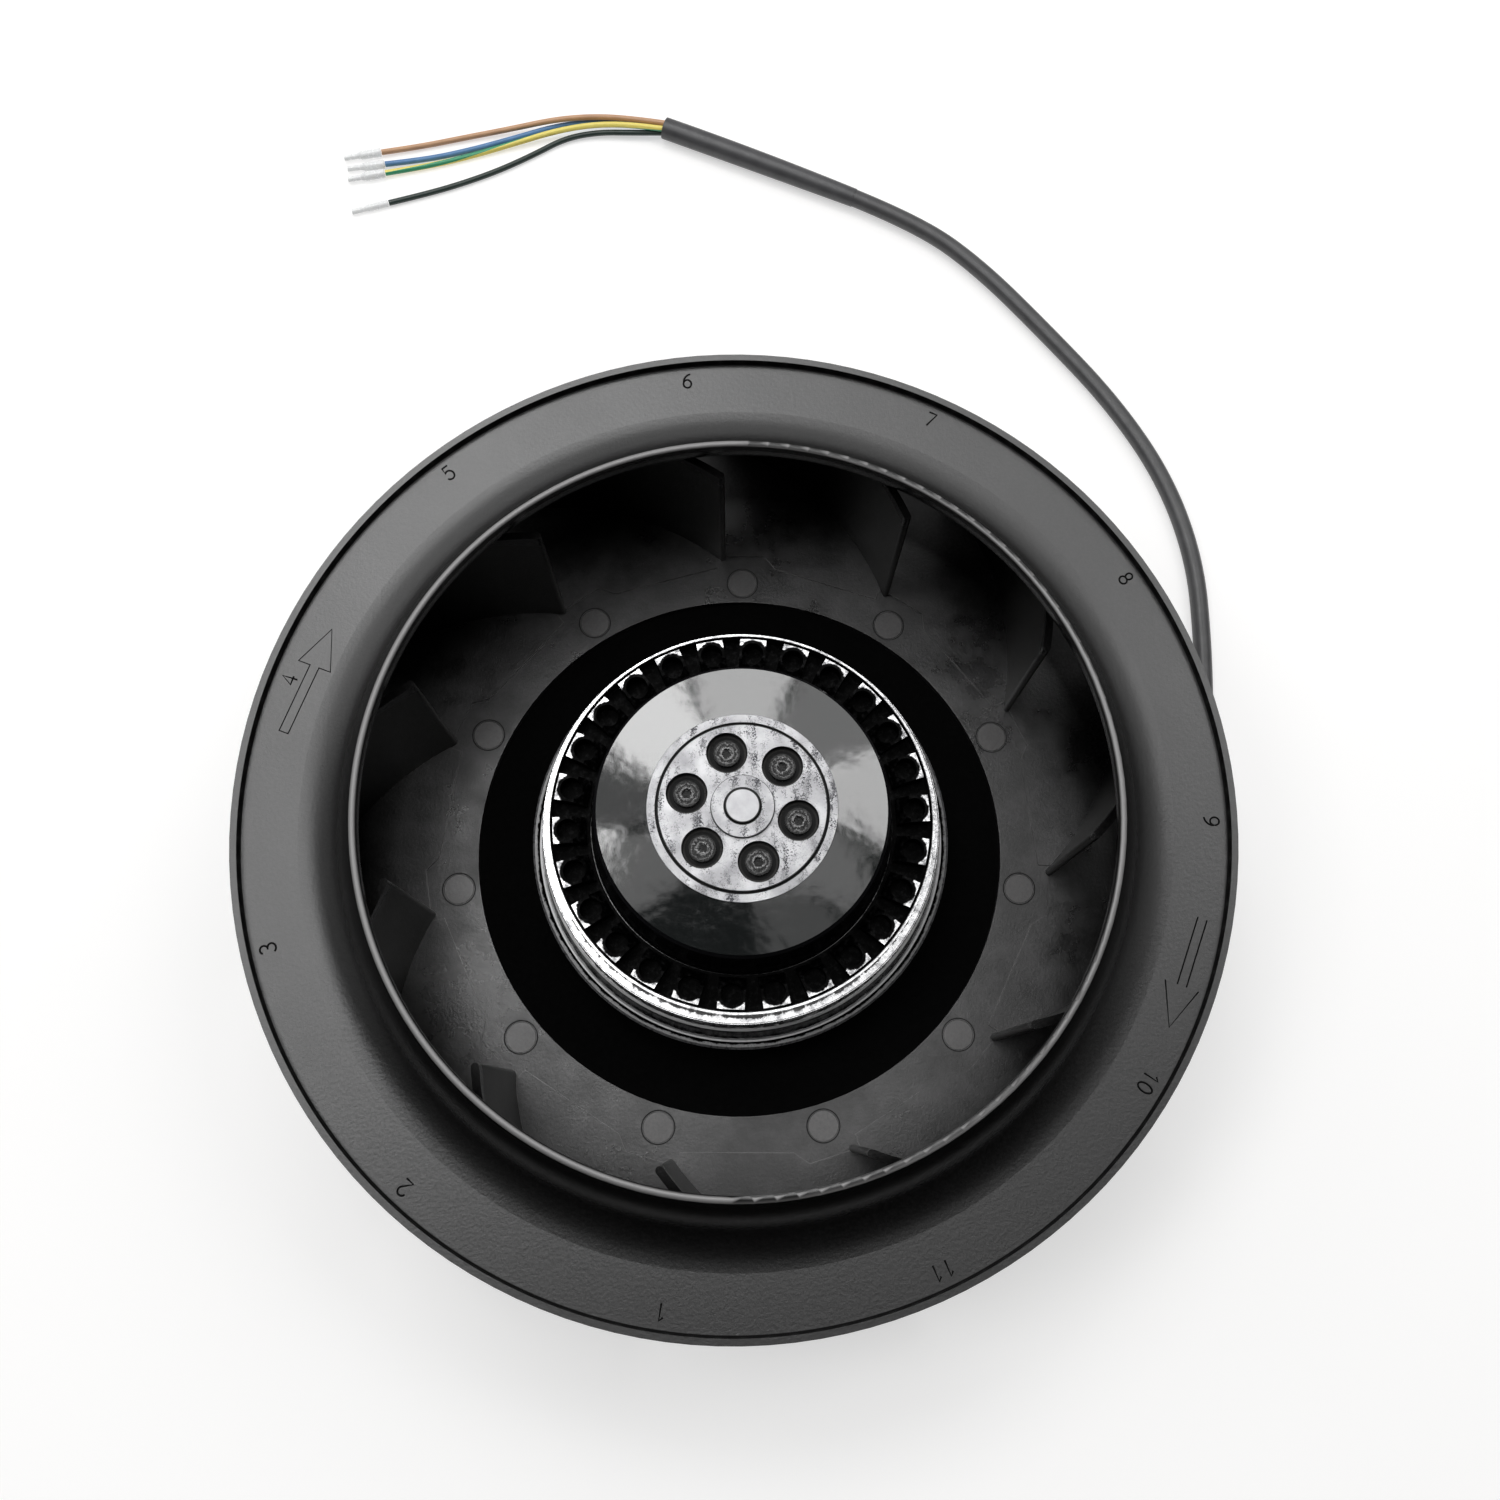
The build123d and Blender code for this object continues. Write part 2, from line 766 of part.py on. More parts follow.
def clamp_place(offset):
    """Place of one clamp screw, at an offset across the cable."""
    angle = radians(cable_exit_angle)
    middle = flange_radius - clamp_length / 2 - 0.5
    x = middle * cos(angle) - offset * sin(angle)
    y = middle * sin(angle) + offset * cos(angle)
    return x, y


def clamp_screw_hole(offset):
    """Hole in the flange for one clamp screw."""
    x, y = clamp_place(offset)
    return disc(clamp_screw_radius + 0.05, 0.8, flange_thickness + 1, x, y)


def cable_clamp():
    """Saddle that holds the cable down in the slot of the flange."""
    top = cable_exit_height + relief_radius
    middle = flange_radius - clamp_length / 2 - 0.5
    plate = block(clamp_length, clamp_width, flange_thickness, flange_thickness + clamp_thickness, middle, cable_exit_angle)
    bridge_width = 2 * (relief_radius + clamp_thickness)
    bridge = block(clamp_length, bridge_width, flange_thickness, top + 0.2, middle, cable_exit_angle)
    tunnel = Rot(0, 0, cable_exit_angle) * Pos(middle, 0, cable_exit_height) * Rot(0, 90, 0) * Cylinder(
        relief_radius, clamp_length * 2
    )
    clamp = plate + bridge - tunnel
    for offset in (-clamp_screw_offset, clamp_screw_offset):
        x, y = clamp_place(offset)
        clamp -= disc(clamp_screw_radius + 0.05, flange_thickness - 1, top + 1, x, y)
    return clamp


def clamp_screw(offset):
    """One small screw of the clamp."""
    x, y = clamp_place(offset)
    seat = flange_thickness + clamp_thickness
    head = disc(1.0 + clamp_screw_radius * 0.5, seat, seat + 0.9, x, y)
    return head + disc(clamp_screw_radius, 0.9, seat, x, y)


def strain_relief():
    """Moulded relief round the cable, tapering outward from the flange."""
    length = cable_exit_radius - relief_inner_radius
    straight = flange_radius + 1.0 - relief_inner_radius
    outline = Polyline(
        [
            (0, 0),
            (relief_radius, 0),
            (relief_radius, straight),
            (relief_tip_radius, length),
            (0, length),
        ],
        close=True,
    )
    body = revolve(Plane.XZ * make_face(outline), Axis.Z)
    return Rot(0, 0, cable_exit_angle) * Pos(relief_inner_radius, 0, cable_exit_height) * Rot(0, 90, 0) * body


def stator_core():
    """Stack of stator sheets: yoke, teeth and tooth tips."""
    core = washer(core_yoke_radius, tube_radius, core_bottom, core_top)
    tip_inner = stator_radius - tooth_tip_height
    tips = washer(stator_radius, tip_inner, core_bottom, core_top)
    for index in range(tooth_count):
        angle = (index + 0.5) * 360.0 / tooth_count
        tips -= block(stator_radius, tooth_tip_gap, core_bottom - 1, core_top + 1, stator_radius, angle)
    core += tips
    reach = (core_yoke_radius + tip_inner) / 2
    length = tip_inner - core_yoke_radius + 1.0
    for index in range(tooth_count):
        core += block(length, tooth_width, core_bottom, core_top, reach, index * 360.0 / tooth_count)
    return core


def insulator(bottom):
    """Moulded end plate on the stator sheets, with one arm over each tooth."""
    top = bottom + insulator_thickness
    tip_inner = stator_radius - tooth_tip_height
    plate = washer(core_yoke_radius, tube_radius, bottom, top)
    reach = (core_yoke_radius + tip_inner) / 2
    length = tip_inner - core_yoke_radius + 1.0
    for index in range(tooth_count):
        plate += block(length, tooth_width, bottom, top, reach, index * 360.0 / tooth_count)
    return plate


def coil(index):
    """One wound coil round its tooth and the insulators."""
    angle = index * 360.0 / tooth_count
    inner_low = core_bottom - insulator_thickness - coil_clearance
    inner_high = core_top + insulator_thickness + coil_clearance
    inner_width = tooth_width + 2 * coil_clearance
    middle = (coil_inner_radius + coil_outer_radius) / 2
    length = coil_outer_radius - coil_inner_radius
    width = inner_width + 2 * coil_thickness
    body = block(length, width, inner_low - coil_thickness, inner_high + coil_thickness, middle, angle)
    window = block(length + 2, inner_width, inner_low, inner_high, middle, angle)
    return body - window


def thermal_protector():
    """Small protector lying on the coil heads."""
    seat = core_top + insulator_thickness + coil_clearance + coil_thickness
    middle = (coil_inner_radius + coil_outer_radius) / 2
    body = block(protector_width, protector_length, seat, seat + protector_height, middle, 90.0)
    return fillet(body.edges().filter_by(Axis.Z), 0.8)


def wave_washer():
    """Spring washer that loads the rear bearing."""
    bottom = rear_bearing_height + bearing_width
    return washer(bearing_radius - 0.1, washer_inner_radius, bottom, bottom + washer_thickness)


def dust_cap():
    """Pressed cap that closes the bearing tube from below."""
    return disc(bearing_radius + 0.75, dust_cap_height, dust_cap_height + dust_cap_thickness)


def earth_screw():
    """Earth screw on the flange."""
    x, y, _ = polar(earth_screw_circle, earth_screw_angle)
    head = disc(earth_screw_head_radius, flange_thickness, flange_thickness + earth_screw_head_height, x, y)
    return head + disc(earth_screw_shank_radius, 0.4, flange_thickness, x, y)


def coil_lead(index):
    """One lead from the cable's end in the slot up to the rear coil heads."""
    angle = cable_exit_angle + (index - 1.5) * coil_lead_pitch
    radius = relief_inner_radius - coil_lead_radius
    low = cable_exit_height
    high = core_bottom - insulator_thickness - coil_clearance - coil_thickness
    x, y, _ = polar(radius, angle)
    return disc(coil_lead_radius, low, high, x, y)


# Cords

def corner_radii(points):
    """Radius of the arc at each corner: as large as its two runs allow."""
    radii = []
    for before, corner, after in zip(points, points[1:], points[2:]):
        run_in = Vector(*corner) - Vector(*before)
        run_out = Vector(*after) - Vector(*corner)
        turn = radians(run_in.get_angle(run_out))
        radii.append(0.45 * min(run_in.length, run_out.length) / tan(turn / 2))
    return radii


def tube(name, points, diameter):
    """Round solid along a route of straight runs joined by tangent arcs."""
    radii = corner_radii(points)
    path = FilletPolyline(*points, radius=radii)
    section = Plane(origin=path @ 0, z_dir=path % 0) * Circle(diameter / 2)
    solid = sweep(section, path=path)
    full = path.length * (diameter / 2) ** 2 * 3.141592653589793
    print(name, "length", round(path.length, 1), "smallest radius", round(min(radii), 1),
          "volume ratio", round(solid.volume / full, 4))
    return solid


def ferrule(points, radius):
    """Crimp sleeve on the end of a lead: a collar and a flattened barrel."""
    end = Vector(*points[-1])
    before = Vector(*points[-2])
    way = Vector(end.X - before.X, end.Y - before.Y, 0).normalized()
    collar_length = ferrule_length - ferrule_crimp_length
    outline = Polyline(
        [
            (0, 0),
            (radius, 0),
            (radius, collar_length * 0.8),
            (ferrule_crimp_radius, collar_length),
            (ferrule_crimp_radius, ferrule_length),
            (0, ferrule_length),
        ],
        close=True,
    )
    body = revolve(Plane.XZ * make_face(outline), Axis.Z)
    start = end + way * 0.25
    return Plane(origin=start, z_dir=way) * body


os.makedirs("parts", exist_ok=True)

keep("impeller_shroud", shroud())
keep("impeller_back_plate", back_plate())

channel = blade_channel()
strip = Pos(0, 0, floor_height) * extrude(blade_plan(), inlet_height)
first_blade = strip & channel
step_cut = passage_floor()
first_blade = first_blade - step_cut
for index in range(blade_count):
    keep(f"blade_{index + 1:02d}", Rot(0, 0, -index * blade_pitch) * first_blade)

keep("plate_studs", group(stud(index) for index in range(blade_count)))
keep("mounting_ring", mounting_ring())
keep("rotor_cup", rotor_cup())
keep("balance_ring", balance_ring())
keep("rotor_hub", rotor_hub())
keep("hub_screws", group(hub_screw(index) for index in range(recess_count)))
keep("label_ring", label_ring())
keep("shaft", shaft())
keep("retaining_ring", circlip())
keep("rotor_laminations", rotor_laminations())
keep("cage_ring_rear", cage_ring(rotor_core_bottom - cage_ring_height))
keep("cage_ring_front", cage_ring(rotor_core_bottom + rotor_core_height))
for place, bottom in (("rear", rear_bearing_height), ("front", front_bearing_height)):
    keep(f"bearing_{place}_inner_ring", bearing_inner(bottom))
    keep(f"bearing_{place}_outer_ring", bearing_outer(bottom))
    keep(f"bearing_{place}_balls", bearing_balls(bottom))

keep("stator_flange", stator_flange())
keep("stator_core", stator_core())
keep("insulator_rear", insulator(core_bottom - insulator_thickness))
keep("insulator_front", insulator(core_top))
keep("main_winding", group(coil(index) for index in range(0, tooth_count, 2)))
keep("auxiliary_winding", group(coil(index) for index in range(1, tooth_count, 2)))
keep("thermal_protector", thermal_protector())
keep("preload_washer", wave_washer())
keep("dust_cap", dust_cap())
keep("earth_screw", earth_screw())
keep("coil_leads", group(coil_lead(index) for index in range(4)))
keep("cable_relief", strain_relief())
keep("cable_clamp", cable_clamp())
keep("clamp_screws", group(clamp_screw(offset) for offset in (-clamp_screw_offset, clamp_screw_offset)))
keep("cable_sheath", tube("cable_sheath", sheath_route, sheath_diameter))
keep("cable_end_sleeve", tube("cable_end_sleeve", sleeve_route, sleeve_diameter))
leads = {
    "brown": (brown_route, ferrule_radius),
    "blue": (blue_route, ferrule_radius),
    "green_yellow": (green_yellow_route, ferrule_radius),
    "black": (black_route, black_ferrule_radius),
}
for colour, (route, radius) in leads.items():
    keep(f"lead_{colour}", tube(f"lead_{colour}", route, lead_diameter))
    keep(f"ferrule_{colour}", ferrule(route, radius))

print(len(made), "pieces")
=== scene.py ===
import bpy
import json
from math import cos, pi, radians, sin
from mathutils import Matrix, Vector


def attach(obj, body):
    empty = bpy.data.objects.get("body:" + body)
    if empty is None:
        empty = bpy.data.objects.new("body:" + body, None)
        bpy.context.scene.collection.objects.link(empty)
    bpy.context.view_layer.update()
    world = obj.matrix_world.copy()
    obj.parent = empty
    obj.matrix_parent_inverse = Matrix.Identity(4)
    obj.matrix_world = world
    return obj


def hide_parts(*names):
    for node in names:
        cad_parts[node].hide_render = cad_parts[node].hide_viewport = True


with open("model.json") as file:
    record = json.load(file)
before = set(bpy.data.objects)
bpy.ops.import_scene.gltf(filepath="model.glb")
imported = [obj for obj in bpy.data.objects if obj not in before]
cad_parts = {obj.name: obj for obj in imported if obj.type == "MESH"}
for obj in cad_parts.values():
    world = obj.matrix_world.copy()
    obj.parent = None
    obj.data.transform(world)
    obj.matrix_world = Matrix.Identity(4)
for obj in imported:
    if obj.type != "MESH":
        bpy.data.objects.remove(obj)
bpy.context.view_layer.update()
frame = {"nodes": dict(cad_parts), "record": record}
nodes = frame["nodes"]

# Everything is in metres, in the frame of the model: z = 0 is the mounting face and the floor.
MM = 0.001
TURN = 2 * pi

# Camera, found from the wheel's concentric circles
CAMERA_PLACE = (-0.00134, -0.06458, 0.37955)
CAMERA_AIM = (0.01579, 0.01177, 0.057)
CAMERA_UP = (0.0119, 1.0, 0.0)
CAMERA_LENS = 36.0
CAMERA_SENSOR = 36.0
CAMERA_SHIFT = (-0.0426, 0.0067)
CAMERA_REACH = (0.01, 20.0)


def make_camera():
    """Camera at the photograph's place, looking down into the inlet."""
    data = bpy.data.cameras.new("camera")
    data.lens = CAMERA_LENS
    data.sensor_width = CAMERA_SENSOR
    data.shift_x, data.shift_y = CAMERA_SHIFT
    data.clip_start, data.clip_end = CAMERA_REACH
    camera = bpy.data.objects.new("camera", data)
    bpy.context.scene.collection.objects.link(camera)
    forward = (Vector(CAMERA_AIM) - Vector(CAMERA_PLACE)).normalized()
    right = forward.cross(Vector(CAMERA_UP)).normalized()
    up = right.cross(forward)
    turn = Matrix((right, up, -forward)).transposed().to_4x4()
    camera.matrix_world = Matrix.Translation(CAMERA_PLACE) @ turn
    bpy.context.scene.camera = camera


make_camera()

# Materials

BLACK = (0.0, 0.0, 0.0)
WHITE = (1.0, 1.0, 1.0)

# Cosines of the turn under which a surface counts as an edge, and over which as even
EDGE_SHARP, EDGE_EVEN = 0.9, 0.995


class Shader:
    """A small helper that builds one node material."""

    def __init__(self, name):
        self.material = bpy.data.materials.new(name)
        self.material.use_nodes = True
        self.tree = self.material.node_tree
        self.base = self.tree.nodes["Principled BSDF"]

    def set(self, **values):
        """Plain values on the shader's own sockets."""
        for key, value in values.items():
            self.base.inputs[key.replace("_", " ")].default_value = value

    def node(self, kind, **values):
        """A node with its settings and its input values."""
        made = self.tree.nodes.new(kind)
        for key, value in values.items():
            if key in made.inputs:
                made.inputs[key].default_value = value
            else:
                setattr(made, key, value)
        return made

    def link(self, source, target):
        """Join an output to an input."""
        self.tree.links.new(source, target)

    # Where a point lies

    def place(self):
        """Coordinates that stay with the piece."""
        return self.node("ShaderNodeTexCoord").outputs["Object"]

    def split(self, source=None):
        """The three parts of a vector, or of the place where none is given."""
        made = self.node("ShaderNodeSeparateXYZ")
        self.link(source or self.place(), made.inputs["Vector"])
        return made.outputs

    def height(self):
        """Height over the mounting face."""
        return self.split()["Z"]

    def radius(self):
        """Distance from the shaft's axis."""
        x, y, _ = self.split()
        return self.length(x, y)

    def ring_distance(self, count, first, circle):
        """Distance from the nearest of several centres that stand evenly round a circle."""
        x, y, _ = self.split()
        radius = self.radius()
        turned = self.add(self.math("ARCTAN2", y, x), TURN - radians(first))
        away = self.math("PINGPONG", turned, pi / count)
        along = self.subtract(self.multiply(radius, self.math("COSINE", away)), circle)
        across = self.multiply(radius, self.math("SINE", away))
        return self.length(along, across)

    def edges(self, width):
        """One where the surface turns sharply within a width, and nought where it is even."""
        rounded = self.node("ShaderNodeBevel", samples=4, Radius=width)
        even = self.node("ShaderNodeNewGeometry")
        meet = self.node("ShaderNodeVectorMath", operation="DOT_PRODUCT")
        self.link(rounded.outputs["Normal"], meet.inputs[0])
        self.link(even.outputs["Normal"], meet.inputs[1])
        return self.fall(meet.outputs["Value"], EDGE_SHARP, EDGE_EVEN)

    # Sums

    def math(self, operation, first, second=0.0):
        """Arithmetic on two values, each a socket or a number."""
        made = self.node("ShaderNodeMath", operation=operation)
        for index, value in enumerate((first, second)):
            if isinstance(value, float):
                made.inputs[index].default_value = value
            else:
                self.link(value, made.inputs[index])
        return made.outputs[0]

    def add(self, first, second):
        return self.math("ADD", first, second)

    def subtract(self, first, second):
        return self.math("SUBTRACT", first, second)

    def multiply(self, first, second):
        return self.math("MULTIPLY", first, second)

    def both(self, first, second):
        """The sum of two masks, one at most."""
        return self.math("MINIMUM", self.add(first, second), 1.0)

    def length(self, x, y):
        """Length of a flat vector."""
        return self.math("SQRT", self.add(self.multiply(x, x), self.multiply(y, y)))

    # Patterns and masks

    def noise(self, scale, detail=4.0, roughness=0.55, source=None):
        """Noise at a scale per metre."""
        made = self.node("ShaderNodeTexNoise", Scale=scale, Detail=detail, Roughness=roughness)
        self.link(source or self.place(), made.inputs["Vector"])
        return made.outputs["Fac"]

    def spread(self, source, low, high, from_low=0.3, from_high=0.7):
        """Map a value to a range; noise lies mostly between 0.3 and 0.7."""
        made = self.node("ShaderNodeMapRange")
        made.inputs["From Min"].default_value = from_low
        made.inputs["From Max"].default_value = from_high
        made.inputs["To Min"].default_value = low
        made.inputs["To Max"].default_value = high
        self.link(source, made.inputs["Value"])
        return made.outputs["Result"]

    def rise(self, value, start, full):
        """Nought up to a value and one from another on."""
        return self.spread(value, 0.0, 1.0, start, full)

    def fall(self, value, full, end):
        """One up to a value and nought from another on."""
        return self.spread(value, 1.0, 0.0, full, end)

    def band(self, value, low, high, soft):
        """One between two values and nought outside them, with soft borders."""
        rise = self.rise(value, low - soft, low + soft)
        fall = self.fall(value, high - soft, high + soft)
        return self.multiply(rise, fall)

    def ramp(self, source, stops, interpolation="LINEAR"):
        """Colour ramp with (place, colour) stops."""
        made = self.node("ShaderNodeValToRGB")
        made.color_ramp.interpolation = interpolation
        elements = made.color_ramp.elements
        while len(elements) < len(stops):
            elements.new(0.5)
        for element, (place, colour) in zip(elements, stops):
            element.position = place
            element.color = (*colour, 1.0)
        self.link(source, made.inputs["Fac"])
        return made.outputs["Color"]

    def mix(self, factor, low, high):
        """Mix two colours, each a socket or a plain colour."""
        made = self.node("ShaderNodeMix", data_type="RGBA")
        if isinstance(factor, float):
            made.inputs[0].default_value = factor
        else:
            self.link(factor, made.inputs[0])
        for index, value in ((6, low), (7, high)):
            if isinstance(value, tuple):
                made.inputs[index].default_value = (*value, 1.0)
            else:
                self.link(value, made.inputs[index])
        return made.outputs[2]

    def number_mix(self, factor, low, high):
        """Mix two values, each a socket or a number."""
        made = self.node("ShaderNodeMix", data_type="FLOAT")
        self.link(factor, made.inputs[0])
        for index, value in ((2, low), (3, high)):
            if isinstance(value, float):
                made.inputs[index].default_value = value
            else:
                self.link(value, made.inputs[index])
        return made.outputs[0]

    # What the surface gets

    def bump(self, height, strength, distance):
        """Bump from a height socket."""
        made = self.node("ShaderNodeBump", Strength=strength, Distance=distance)
        self.link(height, made.inputs["Height"])
        self.link(made.outputs["Normal"], self.base.inputs["Normal"])

    def colour(self, socket):
        self.link(socket, self.base.inputs["Base Color"])

    def rough(self, socket):
        self.link(socket, self.base.inputs["Roughness"])

    def metallic(self, socket):
        self.link(socket, self.base.inputs["Metallic"])

    def shine(self, socket):
        self.link(socket, self.base.inputs["Specular IOR Level"])


# Heights over the mounting face: the top of the plate's floor,
PLATE_TOP = 11.2 * MM
# the borders over which a finish comes in or goes out,
COLLAR_LOW = (22.6 * MM, 22.9 * MM)
COLLAR_TOP = (24.65 * MM, 24.85 * MM)
# up to here the pale edges, partly wear and partly painted highlight
EDGE_WEAR_AND_HIGHLIGHT_END = (52.0 * MM, 54.0 * MM)
# the top of the passages' painted shade
PASSAGE_TOP = (54.0 * MM, 54.6 * MM)
LAND_START = (54.6 * MM, 54.8 * MM)
FLARE_WALL = (57.0 * MM, 60.0 * MM)
RECESS_TOP = (62.3 * MM, 62.6 * MM)
SHAFT_END = (63.0 * MM, 63.2 * MM)
LIP_ROUND = (68.55 * MM, 69.55 * MM)
# the lip's crest with its painted highlight
LIP_HIGHLIGHT = (70.55 * MM, 70.95 * MM)
# and the lowest and highest place of a finish
RIDGE_HEIGHT = (34.75 * MM, 35.25 * MM)
FACE_HEIGHT = (43.1 * MM, 43.7 * MM)
PEG_BARE_HEIGHT = (49.0 * MM, 50.2 * MM)
CUP_LIP_HEIGHT = (49.3 * MM, 50.2 * MM)

# Distances from the shaft's axis between which a finish lies
SHAFT_RING = (3.5 * MM, 4.1 * MM)
BORE_LINE = (3.9 * MM, 4.15 * MM)
HUB_LINES = ((6.75 * MM, 6.95 * MM), (18.15 * MM, 18.5 * MM))
PEG_BARE_RADIUS = (40.7 * MM, 43.0 * MM)
CUP_LIP_RADIUS = (42.85 * MM, 43.5 * MM)
FACE_RADIUS = (43.6 * MM, 46.0 * MM)
FACE_LINE = (44.77 * MM, 44.93 * MM)
RIDGE_RADIUS = (45.5 * MM, 46.3 * MM)
COLLAR_INNER = (47.5 * MM, 48.0 * MM)
COLLAR_OUTER = (48.6 * MM, 50.0 * MM)
# how far out the floor's smudges and painted sheen reach
PASSAGE_MOUTH = (80.0 * MM, 88.0 * MM)
# where the passages' painted shade comes in
PASSAGE_DEPTH = (84.0 * MM, 94.0 * MM)
# a painted shadow line in the step inside the rim
RIM_SHADOW_LINE = (108.12 * MM, 108.52 * MM)

# What repeats round the axis: count, first angle and circle
STUDS = (11, 89.8, 70.0 * MM)
SCREWS = (6, 106.0, 12.4 * MM)
PEG_HOLES = (26, 86.5, 38.9 * MM)
# and how far from those centres a finish lies
STUD_OUTLINE = (3.84 * MM, 4.08 * MM)
RECESS_WALL = (3.9 * MM, 4.15 * MM)
PEG_HOLE_EDGE = (3.05 * MM, 3.25 * MM)

# Tones of the wheel
PLASTIC_DARK = (0.0012, 0.0011, 0.0012)
PLASTIC_LIGHT = (0.0028, 0.0026, 0.0027)
PLASTIC_SPECK = (0.018, 0.0175, 0.0175)
# smudges on the plate's floor, lightened as painted sheen
PLASTIC_SMUDGE_AND_SHEEN = (0.032, 0.031, 0.032)
# pale edges: partly wear, partly painted highlight
PLASTIC_WEAR_AND_HIGHLIGHT = (0.13, 0.127, 0.127)
# painted highlight along the lip's crest, with some wear
LIP_HIGHLIGHT_TONE = (0.20, 0.196, 0.196)


def plastic_grain(s):
    """The grain of glass-filled plastic."""
    return s.noise(1300.0, 5.0, 0.7)


def impeller_plastic():
    """Dark glass-filled plastic: grain, faint flow marks, pale edges that are partly wear and
    partly painted highlight, a smudged floor with painted sheen, a painted highlight along the
    lip, a painted shadow line inside the rim and dimmer reflections as painted shade in the
    passages' far parts.
    """
    s = Shader("impeller_plastic")
    height, radius = s.height(), s.radius()
    grain = plastic_grain(s)
    patches = s.noise(45.0, 7.0, 0.65)

    floor = s.band(height, 0.0, PLATE_TOP, soft=0.2 * MM)
    lip_highlight = s.rise(height, *LIP_HIGHLIGHT)
    lip_round = s.rise(height, *LIP_ROUND)
    outlines = s.multiply(floor, s.band(s.ring_distance(*STUDS), *STUD_OUTLINE, soft=0.06 * MM))
    # A painted shadow line in the step inside the rim
    rim = s.multiply(s.band(radius, *RIM_SHADOW_LINE, soft=0.05 * MM), s.rise(height, *LAND_START))
    # Stud outlines are dark joints; the rim line is a painted shadow
    lines = s.both(s.multiply(outlines, 0.8), s.multiply(rim, 0.85))
    # Painted shade: the passages' far parts reflect less
    passage_shade = s.multiply(s.rise(radius, *PASSAGE_DEPTH), s.fall(height, *PASSAGE_TOP))

    ground = s.mix(s.spread(s.noise(28.0, 3.0), 0.0, 1.0), PLASTIC_DARK, PLASTIC_LIGHT)
    speckle = s.mix(s.rise(grain, 0.42, 0.72), BLACK, PLASTIC_SPECK)
    tone = s.mix(0.35, ground, speckle)
    smeared = s.spread(s.noise(110.0, 7.0, 0.72), 0.15, 1.0, 0.44, 0.62)
    # Smudges on the floor, lightened as painted sheen
    smudge_and_sheen = s.multiply(s.multiply(floor, s.fall(radius, *PASSAGE_MOUTH)), smeared)
    tone = s.mix(smudge_and_sheen, tone, PLASTIC_SMUDGE_AND_SHEEN)
    broken = s.spread(s.noise(70.0, 4.0), 0.1, 1.0, 0.42, 0.60)
    # Pale edges, convex and hollow: partly wear, partly painted highlight
    worn = s.multiply(s.edges(0.35 * MM), s.multiply(s.fall(height, *EDGE_WEAR_AND_HIGHLIGHT_END), broken))
    tone = s.mix(worn, tone, PLASTIC_WEAR_AND_HIGHLIGHT)
    # A painted highlight along the lip's crest, with some wear
    tone = s.mix(lip_highlight, tone, LIP_HIGHLIGHT_TONE)
    s.colour(s.mix(lines, tone, BLACK))

    land_rough = s.spread(patches, 0.31, 0.35)
    floor_rough = s.spread(patches, 0.24, 0.50, 0.38, 0.62)
    rough = s.number_mix(s.rise(height, *FLARE_WALL), land_rough, 0.21)
    rough = s.number_mix(floor, rough, floor_rough)
    rough = s.number_mix(lip_round, rough, 0.42)
    s.rough(s.number_mix(lines, rough, 0.9))
    # Little reflection on the dark lines, and in the passages' far parts as painted shade
    s.shine(s.spread(s.both(passage_shade, lines), 0.92, 0.08, 0.0, 1.0))
    s.bump(s.multiply(grain, s.subtract(1.0, lip_round)), 0.5, 0.12 * MM)
    return s.material


def stud_plastic():
    """The studs' flush heads: the same plastic, matter, with a paler colour as painted sheen."""
    s = Shader("stud_plastic")
    grain = plastic_grain(s)
    # The paler colour is painted sheen
    s.colour(s.mix(s.spread(grain, 0.0, 1.0), (0.050, 0.048, 0.048), (0.090, 0.087, 0.087)))
    s.rough(s.spread(s.noise(160.0, 5.0), 0.30, 0.42))
    s.bump(grain, 0.3, 0.1 * MM)
    s.set(Specular_IOR_Level=0.9)
    return s.material


def moulded_mark():
    """Digits and arrows: matt, so that they read as dark lines."""
    s = Shader("moulded_mark")
    s.colour(s.mix(s.noise(900.0), (0.0012, 0.0012, 0.0012), (0.003, 0.003, 0.003)))
    s.rough(s.spread(s.noise(1300.0), 0.6, 0.75))
    s.set(Specular_IOR_Level=0.12)
    return s.material


def ring_paint():
    """Dull black of the dark zone between rotor and wheel, with a worn rim on the collar, whose
    bare inner edge is given a pale colour as a painted highlight.
    """
    s = Shader("ring_steel")
    height, radius = s.height(), s.radius()
    fine = s.noise(900.0, 5.0)
    ragged = s.add(radius, s.spread(s.noise(380.0, 6.0, 0.7), -0.4 * MM, 0.4 * MM))
    # The collar's bare inner edge, painted pale as a painted highlight
    inner = s.multiply(s.rise(height, *COLLAR_TOP), s.band(radius, *COLLAR_INNER, soft=0.06 * MM))
    outer = s.multiply(s.rise(height, *COLLAR_LOW), s.band(ragged, *COLLAR_OUTER, soft=0.1 * MM))
    dull = s.mix(s.noise(300.0), (0.001, 0.001, 0.001), (0.002, 0.002, 0.002))
    worn = s.mix(s.spread(fine, 0.0, 1.0), (0.05, 0.05, 0.052), (0.16, 0.16, 0.165))
    # bare: pale colour of the collar's inner edge, a painted highlight
    bare = s.mix(fine, (0.55, 0.55, 0.56), (0.80, 0.80, 0.81))
    s.colour(s.mix(inner, s.mix(outer, dull, worn), bare))
    shown = s.both(inner, outer)
    s.rough(s.number_mix(shown, s.spread(fine, 0.75, 0.9), s.spread(fine, 0.22, 0.4)))
    s.shine(s.spread(shown, 0.05, 0.8, 0.0, 1.0))
    return s.material


